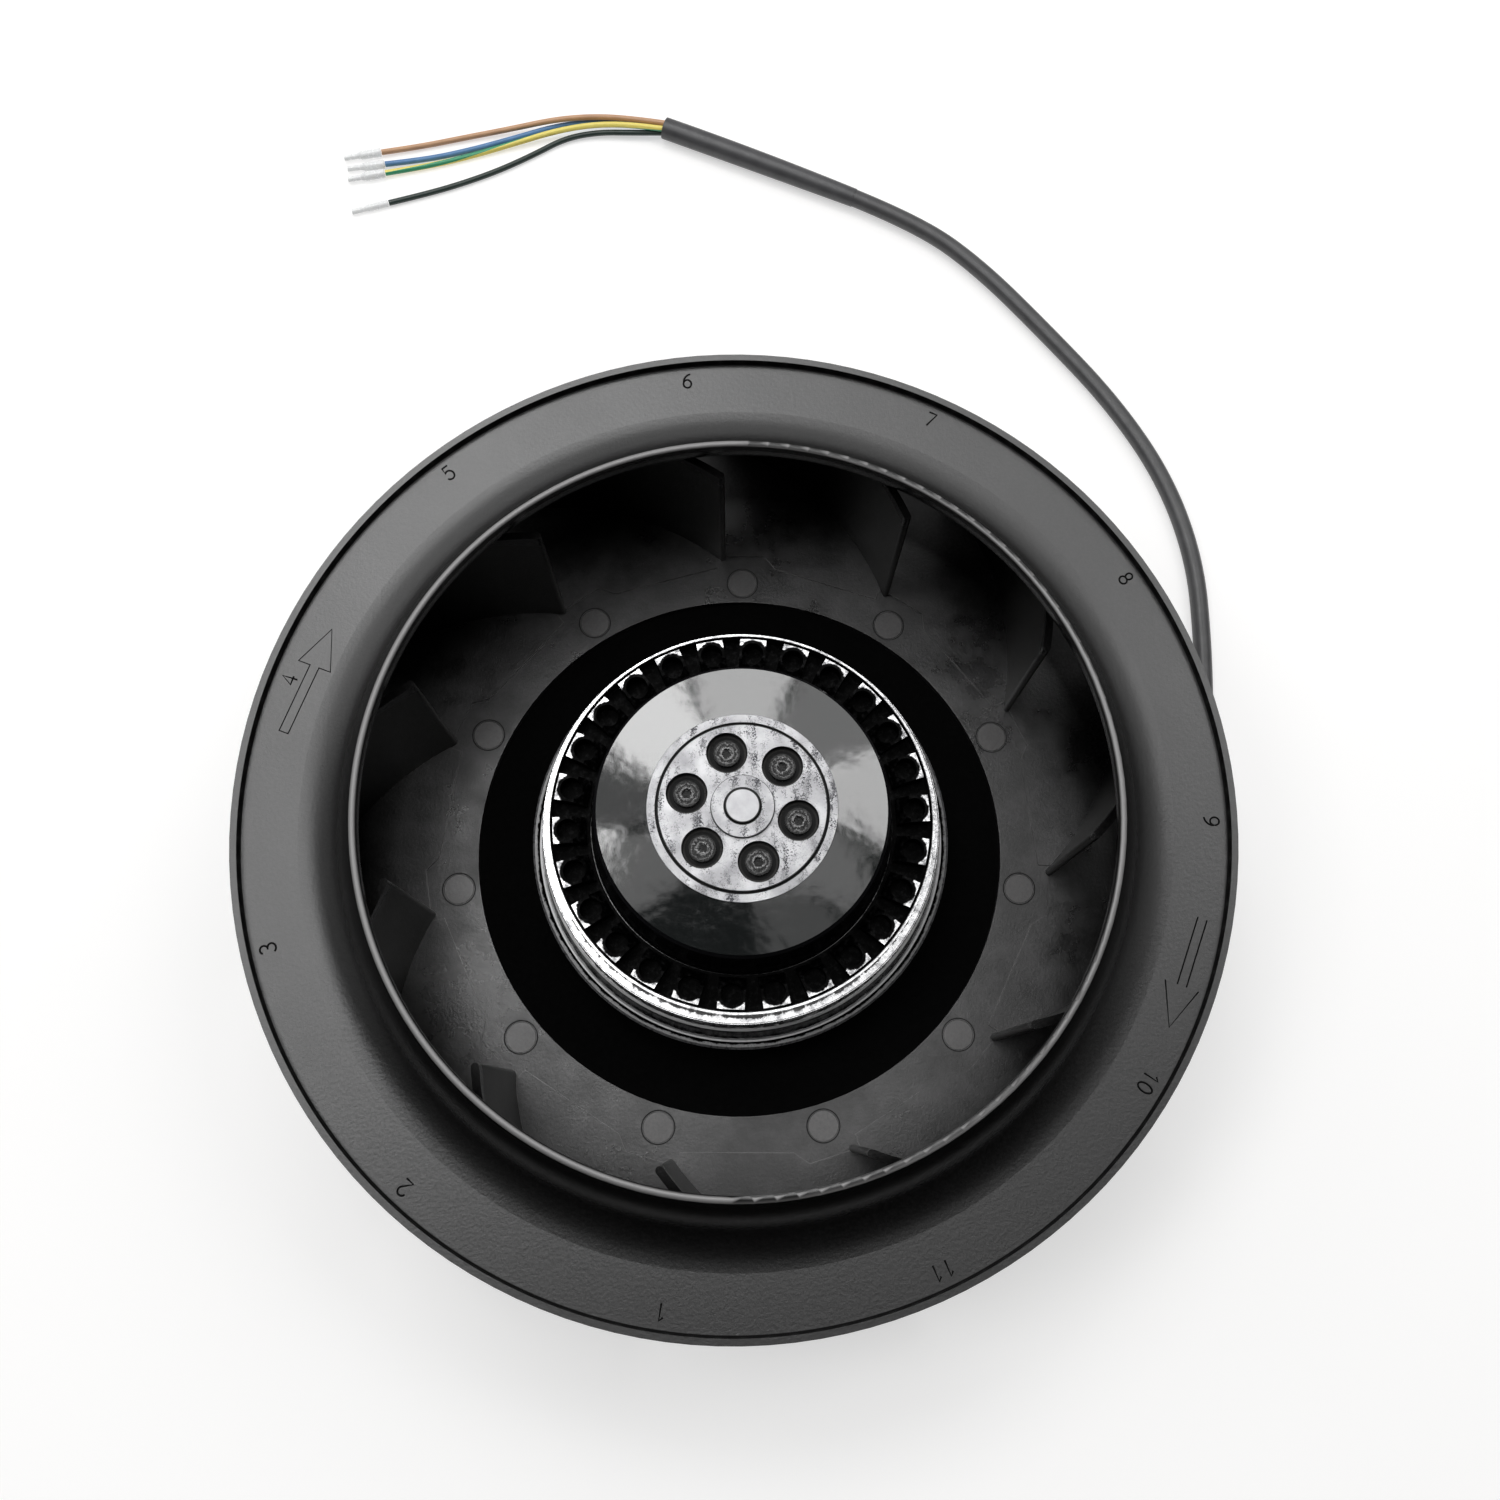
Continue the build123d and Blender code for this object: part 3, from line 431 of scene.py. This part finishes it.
def gloss_black():
    """Thick glossy paint, worn to bright turned metal on the cup's lip, face and ridge; on the
    ridge the bare metal is given a pale non-metal colour as a painted highlight.
    """
    s = Shader("rotor_gloss_black")
    radius, height = s.radius(), s.height()
    ragged = s.noise(420.0, 7.0, 0.7)
    fine = s.noise(1700.0, 4.0)
    shifted = s.add(radius, s.spread(ragged, -0.6 * MM, 0.6 * MM))
    face = s.multiply(
        s.band(height, *FACE_HEIGHT, soft=0.1 * MM),
        s.band(shifted, *FACE_RADIUS, soft=0.08 * MM),
    )
    line = s.band(radius, *FACE_LINE, soft=0.04 * MM)
    lip = s.multiply(
        s.band(height, *CUP_LIP_HEIGHT, soft=0.1 * MM),
        s.band(radius, *CUP_LIP_RADIUS, soft=0.1 * MM),
    )
    # The ridge's bare metal gets a pale, non-metal colour as a painted highlight
    ridge = s.multiply(
        s.band(height, *RIDGE_HEIGHT, soft=0.1 * MM),
        s.band(radius, *RIDGE_RADIUS, soft=0.1 * MM),
    )
    bare = s.both(s.multiply(face, s.subtract(1.0, line)), lip)
    paint = s.mix(fine, (0.003, 0.003, 0.0035), (0.008, 0.008, 0.009))
    metal = s.mix(s.rise(ragged, 0.34, 0.54), (0.30, 0.30, 0.31), (0.94, 0.94, 0.95))
    s.colour(s.mix(ridge, s.mix(bare, paint, metal), (0.78, 0.78, 0.78)))
    s.metallic(bare)
    paint_rough = s.spread(s.noise(700.0, 6.0), 0.07, 0.16)
    s.rough(s.number_mix(bare, paint_rough, s.spread(fine, 0.2, 0.36)))
    s.bump(s.noise(260.0, 3.0), 0.22, 0.6 * MM)
    s.set(Specular_IOR_Level=0.6)
    return s.material


def balance_cast():
    """Cast pegs: matt black paint, ground bright on the outer corners of their tops."""
    s = Shader("balance_ring_cast")
    ragged = s.noise(900.0, 6.0, 0.7)
    fine = s.noise(1900.0, 4.0)
    height = s.add(s.height(), s.spread(ragged, -0.25 * MM, 0.25 * MM))
    radius = s.add(s.radius(), s.spread(ragged, -0.4 * MM, 0.4 * MM))
    away = s.add(s.ring_distance(*PEG_HOLES), s.spread(ragged, -0.2 * MM, 0.2 * MM))
    top = s.band(height, *PEG_BARE_HEIGHT, soft=0.1 * MM)
    outer = s.band(radius, *PEG_BARE_RADIUS, soft=0.1 * MM)
    bare = s.multiply(s.multiply(top, outer), s.rise(away, *PEG_HOLE_EDGE))
    speckle = s.ramp(ragged, [(0.52, BLACK), (0.66, (0.03, 0.03, 0.031))])
    paint = s.mix(0.35, (0.0006, 0.0006, 0.0007), speckle)
    patches = s.rise(s.noise(520.0, 5.0, 0.7), 0.38, 0.56)
    metal = s.mix(patches, (0.16, 0.16, 0.165), (0.80, 0.80, 0.81))
    s.colour(s.mix(bare, paint, metal))
    s.metallic(bare)
    s.rough(s.number_mix(bare, s.spread(ragged, 0.35, 0.6), s.spread(fine, 0.22, 0.4)))
    s.shine(s.spread(ragged, 0.01, 0.06))
    s.bump(ragged, 0.3, 0.3 * MM)
    return s.material


def plain_metal(name, low, high, rough_low, rough_high):
    """Metal with a fine uneven finish."""
    s = Shader(name)
    grain = s.noise(900.0, 6.0, 0.6)
    s.colour(s.mix(s.spread(s.noise(180.0), 0.0, 1.0), low, high))
    s.rough(s.spread(grain, rough_low, rough_high))
    s.bump(grain, 0.05, 0.2 * MM)
    s.set(Metallic=1.0)
    return s.material


def hub_metal():
    """Bright hub face with short random scratches and dark specks, with painted shade inside its
    recesses and painted glints on their walls.
    """
    s = Shader("hub_metal")
    bend = s.node("ShaderNodeVectorMath", operation="MULTIPLY_ADD")
    s.link(s.node("ShaderNodeTexNoise", Scale=90.0).outputs["Color"], bend.inputs[0])
    bend.inputs[1].default_value = (4.0 * MM, 4.0 * MM, 0.0)
    s.link(s.place(), bend.inputs[2])
    stretch = s.node("ShaderNodeMapping", Scale=(1.0, 0.16, 1.0), Rotation=(0.0, 0.0, 0.5))
    s.link(bend.outputs[0], stretch.inputs["Vector"])
    scratches = s.noise(900.0, 5.0, 0.75, stretch.outputs["Vector"])

    radius = s.radius()
    lines = s.band(radius, *BORE_LINE, soft=0.05 * MM)
    for line in HUB_LINES:
        lines = s.add(lines, s.band(radius, *line, soft=0.04 * MM))
    clear = s.ramp(scratches, [(0.41, BLACK), (0.48, WHITE)])
    tone = s.mix(s.spread(s.noise(160.0), 0.0, 1.0), (0.24, 0.24, 0.25), (0.50, 0.50, 0.51))
    marked = s.mix(clear, (0.05, 0.05, 0.055), tone)
    face = s.mix(s.math("MINIMUM", lines, 1.0), marked, (0.01, 0.01, 0.01))
    # Painted shade inside the recesses, with painted glints on their walls
    wall = s.band(s.ring_distance(*SCREWS), *RECESS_WALL, soft=0.2 * MM)
    glint = s.multiply(wall, s.spread(scratches, 0.0, 1.0))
    recess_shade = s.mix(glint, (0.003, 0.003, 0.0032), (0.09, 0.085, 0.08))
    open_face = s.rise(s.height(), *RECESS_TOP)
    s.colour(s.mix(open_face, recess_shade, face))
    s.rough(s.spread(scratches, 0.24, 0.44))
    s.bump(scratches, 0.3, 0.3 * MM)
    s.metallic(s.multiply(open_face, 0.85))
    s.shine(s.spread(open_face, 0.12, 0.5, 0.0, 1.0))
    return s.material


def shaft_metal():
    """Ground steel with a dark ring at the edge of its end."""
    s = Shader("shaft_steel")
    fine = s.noise(500.0, 3.0)
    end = s.rise(s.height(), *SHAFT_END)
    ring = s.multiply(s.band(s.radius(), *SHAFT_RING, soft=0.05 * MM), end)
    tone = s.mix(s.spread(fine, 0.0, 1.0), (0.34, 0.34, 0.35), (0.42, 0.42, 0.43))
    s.colour(s.mix(ring, tone, (0.008, 0.008, 0.008)))
    s.rough(s.spread(fine, 0.32, 0.36))
    s.bump(fine, 0.01, 0.1 * MM)
    s.metallic(s.spread(ring, 0.95, 0.2, 0.0, 1.0))
    return s.material


# Painted highlights in rings on a screw's head: how bright it is at shares of the distance to its
# recess's wall
SCREW_REACH = 4.0 * MM
SCREW_HIGHLIGHTS = (
    (0.0, 0.012), (0.26, 0.02), (0.30, 0.30), (0.36, 0.22),
    (0.40, 0.02), (0.52, 0.02), (0.56, 0.22), (0.62, 0.02),
)


def screw_metal():
    """Dark oily screws with painted highlights in bright rings on their heads."""
    s = Shader("screw_steel")
    away = s.multiply(s.ring_distance(*SCREWS), 1.0 / SCREW_REACH)
    oil = s.noise(800.0, 6.0, 0.75)
    stops = [(place, (tone, tone, tone)) for place, tone in SCREW_HIGHLIGHTS]
    rings = s.ramp(s.add(away, s.spread(oil, -0.15, 0.15)), stops)
    s.colour(s.mix(s.spread(oil, 0.0, 1.0), (0.010, 0.010, 0.010), rings))
    s.rough(s.spread(oil, 0.16, 0.34))
    s.bump(oil, 0.5, 0.4 * MM)
    s.set(Metallic=0.8)
    return s.material


def label_foil():
    """Glossy dark foil with slight waves and creases."""
    s = Shader("label_foil")
    waves = s.noise(75.0, 3.0)
    creases = s.noise(900.0, 6.0, 0.75)
    s.colour(s.mix(s.noise(700.0), (0.006, 0.007, 0.007), (0.012, 0.014, 0.014)))
    s.rough(s.spread(creases, 0.05, 0.12))
    s.bump(s.add(waves, s.multiply(creases, 0.04)), 0.2, 1.0 * MM)
    s.set(Specular_IOR_Level=0.9, Coat_Weight=0.5, Coat_Roughness=0.04)
    return s.material


def cable_plastic(name, low, high):
    """Satin plastic or rubber with faint unevenness."""
    s = Shader(name)
    s.colour(s.mix(s.spread(s.noise(220.0), 0.0, 1.0), low, high))
    s.rough(s.spread(s.noise(1400.0, 5.0), 0.32, 0.46))
    s.bump(s.noise(1600.0, 4.0), 0.08, 0.2 * MM)
    return s.material


STRIPE_TURN = 0.9  # turns of the colours round the wire from one end to the other
YELLOW_SHARE = 0.72


def striped_lead():
    """Green and yellow lead: the colours lie side by side and turn slowly round the wire."""
    s = Shader("green_yellow_lead")
    along, across, _ = s.split(s.node("ShaderNodeTexCoord").outputs["UV"])
    around = s.math("FRACT", s.add(s.multiply(along, STRIPE_TURN), across))
    stripe = s.ramp(around, [(0.0, BLACK), (YELLOW_SHARE, WHITE)], "CONSTANT")
    yellow = s.mix(s.noise(900.0), (0.80, 0.66, 0.13), (0.88, 0.76, 0.20))
    green = s.mix(s.noise(900.0), (0.04, 0.28, 0.14), (0.06, 0.36, 0.18))
    s.colour(s.mix(stripe, yellow, green))
    s.rough(s.spread(s.noise(1400.0), 0.32, 0.42))
    return s.material


def ferrule_plastic():
    """Pale, half-clear crimp sleeve."""
    s = Shader("ferrule_plastic")
    s.colour(s.mix(s.noise(700.0), (0.90, 0.91, 0.91), (0.96, 0.97, 0.97)))
    s.rough(s.spread(s.noise(1200.0), 0.18, 0.32))
    s.set(Transmission_Weight=0.12, IOR=1.45)
    return s.material


# Slots with a finish of their own
FINISHES = {
    "impeller_plastic": impeller_plastic,
    "ring_steel": ring_paint,
    "rotor_gloss_black": gloss_black,
    "balance_ring_cast": balance_cast,
    "hub_metal": hub_metal,
    "label_foil": label_foil,
    "shaft_steel": shaft_metal,
    "screw_steel": screw_metal,
    "stud_plastic": stud_plastic,
    "moulded_mark": moulded_mark,
    "green_yellow_lead": striped_lead,
    "ferrule_plastic": ferrule_plastic,
}

# Plain metals: darker and lighter tone, lowest and highest roughness
METALS = {
    "spring_steel": ((0.14, 0.14, 0.15), (0.22, 0.22, 0.24), 0.3, 0.45),
    "sheet_steel": ((0.18, 0.18, 0.19), (0.28, 0.28, 0.29), 0.35, 0.5),
    "cast_aluminium": ((0.42, 0.42, 0.43), (0.56, 0.56, 0.57), 0.38, 0.55),
    "bearing_steel": ((0.5, 0.5, 0.51), (0.6, 0.6, 0.61), 0.1, 0.2),
    "copper_wire": ((0.36, 0.12, 0.05), (0.46, 0.18, 0.07), 0.25, 0.4),
}

# Plastics and rubber: darker and lighter tone
PLASTICS = {
    "insulator_plastic": ((0.62, 0.60, 0.52), (0.70, 0.68, 0.60)),
    "protector_plastic": ((0.02, 0.02, 0.02), (0.04, 0.04, 0.04)),
    "relief_rubber": ((0.012, 0.012, 0.012), (0.022, 0.022, 0.022)),
    "cable_sheath": ((0.050, 0.050, 0.052), (0.068, 0.068, 0.070)),
    "end_sleeve": ((0.050, 0.050, 0.053), (0.070, 0.070, 0.073)),
    "brown_lead": ((0.48, 0.27, 0.15), (0.58, 0.34, 0.19)),
    "blue_lead": ((0.08, 0.20, 0.40), (0.11, 0.25, 0.48)),
    "black_lead": ((0.014, 0.026, 0.022), (0.026, 0.042, 0.036)),
}

made_materials = {}


def material_for(slot):
    """The material of one slot, made once."""
    if slot not in made_materials:
        if slot in FINISHES:
            made_materials[slot] = FINISHES[slot]()
        elif slot in METALS:
            made_materials[slot] = plain_metal(slot, *METALS[slot])
        else:
            made_materials[slot] = cable_plastic(slot, *PLASTICS[slot])
    return made_materials[slot]


def dress(piece, slot):
    """Give a piece its only material."""
    piece.data.materials.clear()
    piece.data.materials.append(material_for(slot))


def dress_nodes():
    """Every carried-over node gets its slot's material, and two a finish of their own."""
    for entry in frame["record"]["subparts"]:
        dress(nodes[entry["node"]], entry["material_slot"])
    dress(nodes["balance_ring"], "balance_ring_cast")
    dress(nodes["plate_studs"], "stud_plastic")


dress_nodes()

# Cords: the cable on the floor and its four leads, on the routes of the model

SHEATH_DIAMETER = 4.8 * MM
SLEEVE_DIAMETER = 6.2 * MM
LEAD_DIAMETER = 1.6 * MM
CORD_SIDES = 5
CORD_STEPS = 10

SHEATH_ROUTE = [
    (0.05074, -0.01847, 0.0032),
    (0.0639, -0.0232, 0.0031),
    (0.0800, -0.0240, 0.0027),
    (0.0958, -0.0174, 0.0025),
    (0.1088, -0.0043, 0.0024),
    (0.1173, 0.0132, 0.0024),
    (0.1219, 0.0330, 0.0024),
    (0.1231, 0.0560, 0.0024),
    (0.1227, 0.0801, 0.0024),
    (0.1160, 0.1040, 0.0024),
    (0.1027, 0.1266, 0.0024),
    (0.0847, 0.1480, 0.0025),
    (0.0673, 0.1672, 0.0027),
    (0.0507, 0.1804, 0.0029),
    (0.0320, 0.1885, 0.0031),
]
SLEEVE_ROUTE = [
    (0.0320, 0.1885, 0.0031),
    (0.0053, 0.1996, 0.0031),
    (-0.0217, 0.2098, 0.0031),
]
# Share of the sleeve's thickness at its points: it is shrunk onto the sheath
SLEEVE_SWELL = (0.82, 1.0, 0.97)
LEAD_ROUTES = {
    "brown": [
        (-0.0214, 0.2107, 0.00395),
        (-0.0310, 0.2122, 0.0037),
        (-0.0420, 0.2130, 0.0032),
        (-0.0530, 0.2120, 0.0028),
        (-0.0660, 0.2093, 0.0017),
        (-0.0790, 0.2067, 0.0009),
        (-0.0910, 0.2036, 0.0009),
        (-0.1014, 0.2014, 0.0012),
    ],
    "blue": [
        (-0.0214, 0.2107, 0.00225),
        (-0.0310, 0.2122, 0.0019),
        (-0.0420, 0.2128, 0.00135),
        (-0.0530, 0.2112, 0.0009),
        (-0.0645, 0.2070, 0.00085),
        (-0.0770, 0.2028, 0.0008),
        (-0.0890, 0.1995, 0.0009),
        (-0.1002, 0.1976, 0.0012),
    ],
    "green_yellow": [
        (-0.0220, 0.2089, 0.00395),
        (-0.0310, 0.2103, 0.0036),
        (-0.0415, 0.2105, 0.0031),
        (-0.0520, 0.2088, 0.0024),
        (-0.0640, 0.2052, 0.0013),
        (-0.0770, 0.2008, 0.0008),
        (-0.0890, 0.1973, 0.0009),
        (-0.1000, 0.1948, 0.0012),
    ],
    "black": [
        (-0.0220, 0.2089, 0.00225),
        (-0.0310, 0.2089, 0.0019),
        (-0.0405, 0.2092, 0.0014),
        (-0.0500, 0.2074, 0.0009),
        (-0.0590, 0.2018, 0.0008),
        (-0.0690, 0.1963, 0.0008),
        (-0.0800, 0.1916, 0.0008),
        (-0.0898, 0.1882, 0.00085),
        (-0.0986, 0.1855, 0.00095),
    ],
}


def cord_curve(name, route, diameter, slot, swell=None):
    """Smooth round cord along its route, its thickness shared out over its points by swell."""
    data = bpy.data.curves.new(name, "CURVE")
    data.dimensions = "3D"
    data.bevel_depth = diameter / 2
    data.bevel_resolution = CORD_SIDES
    data.resolution_u = CORD_STEPS
    data.use_fill_caps = True
    data.twist_mode = "MINIMUM"
    spline = data.splines.new("NURBS")
    spline.points.add(len(route) - 1)
    for point, place in zip(spline.points, route):
        point.co = (*place, 1.0)
    for point, factor in zip(spline.points, swell or []):
        point.radius = factor
    spline.order_u = 3
    spline.use_endpoint_u = True
    made = bpy.data.objects.new(name, data)
    bpy.context.scene.collection.objects.link(made)
    dress(made, slot)
    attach(made, "stator")
    return made


def make_cords():
    """Sheath, end sleeve and the four leads."""
    sheath = cord_curve("cable_sheath_line", SHEATH_ROUTE, SHEATH_DIAMETER, "cable_sheath")
    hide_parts("cable_sheath")
    sleeve = cord_curve(
        "cable_end_sleeve_line", SLEEVE_ROUTE, SLEEVE_DIAMETER, "end_sleeve", SLEEVE_SWELL
    )
    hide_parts("cable_end_sleeve")
    for colour, route in LEAD_ROUTES.items():
        lead = cord_curve(f"lead_{colour}_line", route, LEAD_DIAMETER, f"{colour}_lead")
        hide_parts(f"lead_{colour}")


make_cords()

# Moulded digits and arrows on the shroud

LAND_HEIGHT = 55.2 * MM
DIGIT_HEIGHT = 3.4 * MM
DIGIT_RADIUS = 103.0 * MM
# Width of a digit and step to the next one, as shares of its height
DIGIT_WIDTH = 0.6
DIGIT_STEP = 0.8
STROKE = 0.22 * MM
ARROW_STROKE = 0.17 * MM
STROKE_SIDES = 2
# Clockwise places, in degrees from +Y
DIGIT_PLACES = {
    "7": 25.1, "8": 58.0, "9": 91.0, "10": 124.1, "11": 156.8, "1": 189.2,
    "2": 221.6, "3": 254.0, "4": 286.9, "5": 319.9, "6": 352.9,
}


def ring_arc(cx, cy, rx, ry, start, end, steps):
    """Points of an arc, angles in degrees."""
    points = []
    for index in range(steps + 1):
        a = radians(start + (end - start) * index / steps)
        points.append((cx + rx * cos(a), cy + ry * sin(a)))
    return points


# Each digit is a few strokes in a cell DIGIT_WIDTH wide and 1 high
DIGIT_STROKES = {
    "0": [ring_arc(0.3, 0.5, 0.27, 0.5, 90, 450, 20)],
    "1": [[(0.12, 0.78), (0.34, 1.0), (0.34, 0.0)]],
    "2": [ring_arc(0.3, 0.72, 0.27, 0.28, 170, -35, 10) + [(0.04, 0.0), (0.6, 0.0)]],
    "3": [
        ring_arc(0.27, 0.75, 0.26, 0.25, 150, -90, 9)
        + ring_arc(0.27, 0.26, 0.3, 0.26, 90, -150, 10)
    ],
    "4": [[(0.46, 0.0), (0.46, 1.0), (0.02, 0.3), (0.6, 0.3)]],
    "5": [
        [(0.54, 1.0), (0.12, 1.0), (0.08, 0.56)]
        + ring_arc(0.27, 0.33, 0.3, 0.33, 120, -150, 12)
    ],
    "6": [
        ring_arc(0.62, 0.4, 0.56, 0.6, 95, 175, 7)
        + ring_arc(0.3, 0.3, 0.27, 0.3, 180, 540, 16)
    ],
    "7": [[(0.02, 1.0), (0.58, 1.0), (0.22, 0.0)]],
    "8": [
        ring_arc(0.3, 0.75, 0.22, 0.25, -90, 270, 16),
        ring_arc(0.3, 0.26, 0.28, 0.26, 90, 450, 16),
    ],
    "9": [
        ring_arc(0.3, 0.7, 0.27, 0.3, 0, 360, 16)
        + ring_arc(-0.02, 0.6, 0.59, 0.6, 0, -85, 7)
    ],
}


def raised_strokes(name, strokes, closed, thickness):
    """Round raised strokes through lists of points on the land, in one piece of the shroud."""
    data = bpy.data.curves.new(name, "CURVE")
    data.dimensions = "3D"
    data.bevel_depth = thickness
    data.bevel_resolution = STROKE_SIDES
    data.use_fill_caps = True
    for points in strokes:
        spline = data.splines.new("POLY")
        spline.points.add(len(points) - 1)
        for point, (x, y) in zip(spline.points, points):
            point.co = (x, y, LAND_HEIGHT, 1.0)
        spline.use_cyclic_u = closed
    made = bpy.data.objects.new(name, data)
    bpy.context.scene.collection.objects.link(made)
    dress(made, "moulded_mark")
    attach(made, "rotor")


def radial_place(radius, clockwise, along, outward):
    """Point near a place on a ring: along runs clockwise and outward away from the axis."""
    a = radians(clockwise)
    away = (sin(a), cos(a))
    side = (cos(a), -sin(a))
    return (
        (radius + outward) * away[0] + along * side[0],
        (radius + outward) * away[1] + along * side[1],
    )


def make_digits():
    """Plain numbers 1 to 11, one for each blade, heads outward."""
    step = DIGIT_STEP * DIGIT_HEIGHT
    for text, clockwise in DIGIT_PLACES.items():
        strokes = []
        start = -0.5 * (step * (len(text) - 1) + DIGIT_WIDTH * DIGIT_HEIGHT)
        for index, letter in enumerate(text):
            left = start + index * step
            for stroke in DIGIT_STROKES[letter]:
                strokes.append([
                    radial_place(
                        DIGIT_RADIUS, clockwise, left + x * DIGIT_HEIGHT, y * DIGIT_HEIGHT
                    )
                    for x, y in stroke
                ])
        raised_strokes(f"shroud_number_{text}", strokes, False, STROKE)


ARROW_HALF = 3.8 * MM
ARROW_SHAFT_HALF = 1.05 * MM
# Each arrow: clockwise place and radius of the foot of its line, its tail, neck and tip
# along that line, and whether its outline is closed
ARROWS = (
    (111.0, 102.8 * MM, -14.1 * MM, 1.5 * MM, 11.0 * MM, False),
    (290.8, 100.6 * MM, -18.4 * MM, -2.3 * MM, 7.0 * MM, True),
)


def make_arrows():
    """Two straight arrows that point clockwise, the way the wheel turns."""
    for index, (clockwise, radius, tail, neck, tip, closed) in enumerate(ARROWS):
        head = [(neck, -ARROW_HALF), (tip, 0.0), (neck, ARROW_HALF)]
        upper = [(neck, ARROW_SHAFT_HALF), (tail, ARROW_SHAFT_HALF)]
        lower = [(tail, -ARROW_SHAFT_HALF), (neck, -ARROW_SHAFT_HALF)]
        outlines = [head + upper + lower] if closed else [head, upper, lower]
        strokes = [
            [radial_place(radius, clockwise, along, out) for along, out in line]
            for line in outlines
        ]
        raised_strokes(f"rotation_arrow_{index + 1}", strokes, closed, ARROW_STROKE)


make_digits()
make_arrows()

# Floor and light

FLOOR_SIZE = 6.0
FLOOR_DROP = 0.1 * MM
FLOOR_TONES = ((0.55, 0.545, 0.54), (0.57, 0.565, 0.56))
FLOOR_GLOW = 0.52


def make_floor():
    """Plain pale floor that glows a little, so that it comes out as white as the page."""
    mesh = bpy.data.meshes.new("floor")
    half = FLOOR_SIZE / 2
    corners = [(-half, -half), (half, -half), (half, half), (-half, half)]
    mesh.from_pydata([(x, y, -FLOOR_DROP) for x, y in corners], [], [(0, 1, 2, 3)])
    floor = bpy.data.objects.new("floor", mesh)
    bpy.context.scene.collection.objects.link(floor)
    s = Shader("floor_white")
    s.colour(s.mix(s.noise(2.0), *FLOOR_TONES))
    s.set(Roughness=0.8, Specular_IOR_Level=0.1)
    s.set(Emission_Color=(*WHITE, 1.0), Emission_Strength=FLOOR_GLOW)
    mesh.materials.append(s.material)


WORLD_STRENGTH = 0.01
PANEL_DISTANCE = 1.3
PANEL_AIM = (0.0, 0.0, 0.05)
PANEL_GAIN = 1.1
# Width and height of the panels at each elevation
PANEL_SIZES = {
    90: (0.365, 0.365),
    75: (0.265, 0.319),
    59: (0.353, 0.365),
    41: (0.520, 0.412),
    20: (1.005, 0.458),
}
# Soft panels round the wheel: clockwise angle from +Y, elevation, brightness
PANELS = [
    (0, 90, 2.0),
    (90, 75, 1.05), (135, 75, 0.47), (270, 75, 0.95), (315, 75, 5.2),
    (0, 59, 4.0), (30, 59, 1.3), (60, 59, 4.1),
    (270, 59, 6.2), (300, 59, 0.5), (330, 59, 6.4),
    (0, 41, 0.62), (30, 41, 1.5), (60, 41, 0.92), (90, 41, 0.53),
    (300, 41, 1.14), (330, 41, 0.73),
    (0, 20, 0.72), (45, 20, 0.7), (90, 20, 0.27), (270, 20, 0.38), (315, 20, 1.02),
]


def soft_panel(name, clockwise, elevation, brightness):
    """Rectangular soft light that faces the wheel."""
    width, height = PANEL_SIZES[elevation]
    data = bpy.data.lights.new(name, "AREA")
    data.shape = "RECTANGLE"
    data.size = width
    data.size_y = height
    data.energy = PANEL_GAIN * brightness * pi * width * height
    light = bpy.data.objects.new(name, data)
    bpy.context.scene.collection.objects.link(light)
    a, e = radians(clockwise), radians(elevation)
    way = Vector((sin(a) * cos(e), cos(a) * cos(e), sin(e)))
    turn = (-way).to_track_quat("-Z", "Y").to_matrix().to_4x4()
    light.matrix_world = Matrix.Translation(Vector(PANEL_AIM) + way * PANEL_DISTANCE) @ turn


def make_light():
    """A dim surround and the panels, most of them on the upper left."""
    world = bpy.data.worlds.new("surround")
    world.use_nodes = True
    back = world.node_tree.nodes["Background"]
    back.inputs["Color"].default_value = (*WHITE, 1.0)
    back.inputs["Strength"].default_value = WORLD_STRENGTH
    bpy.context.scene.world = world
    for index, (clockwise, elevation, brightness) in enumerate(PANELS):
        soft_panel(f"panel_{index + 1:02d}", clockwise, elevation, brightness)


make_floor()
make_light()
bpy.context.scene.view_settings.view_transform = "Standard"
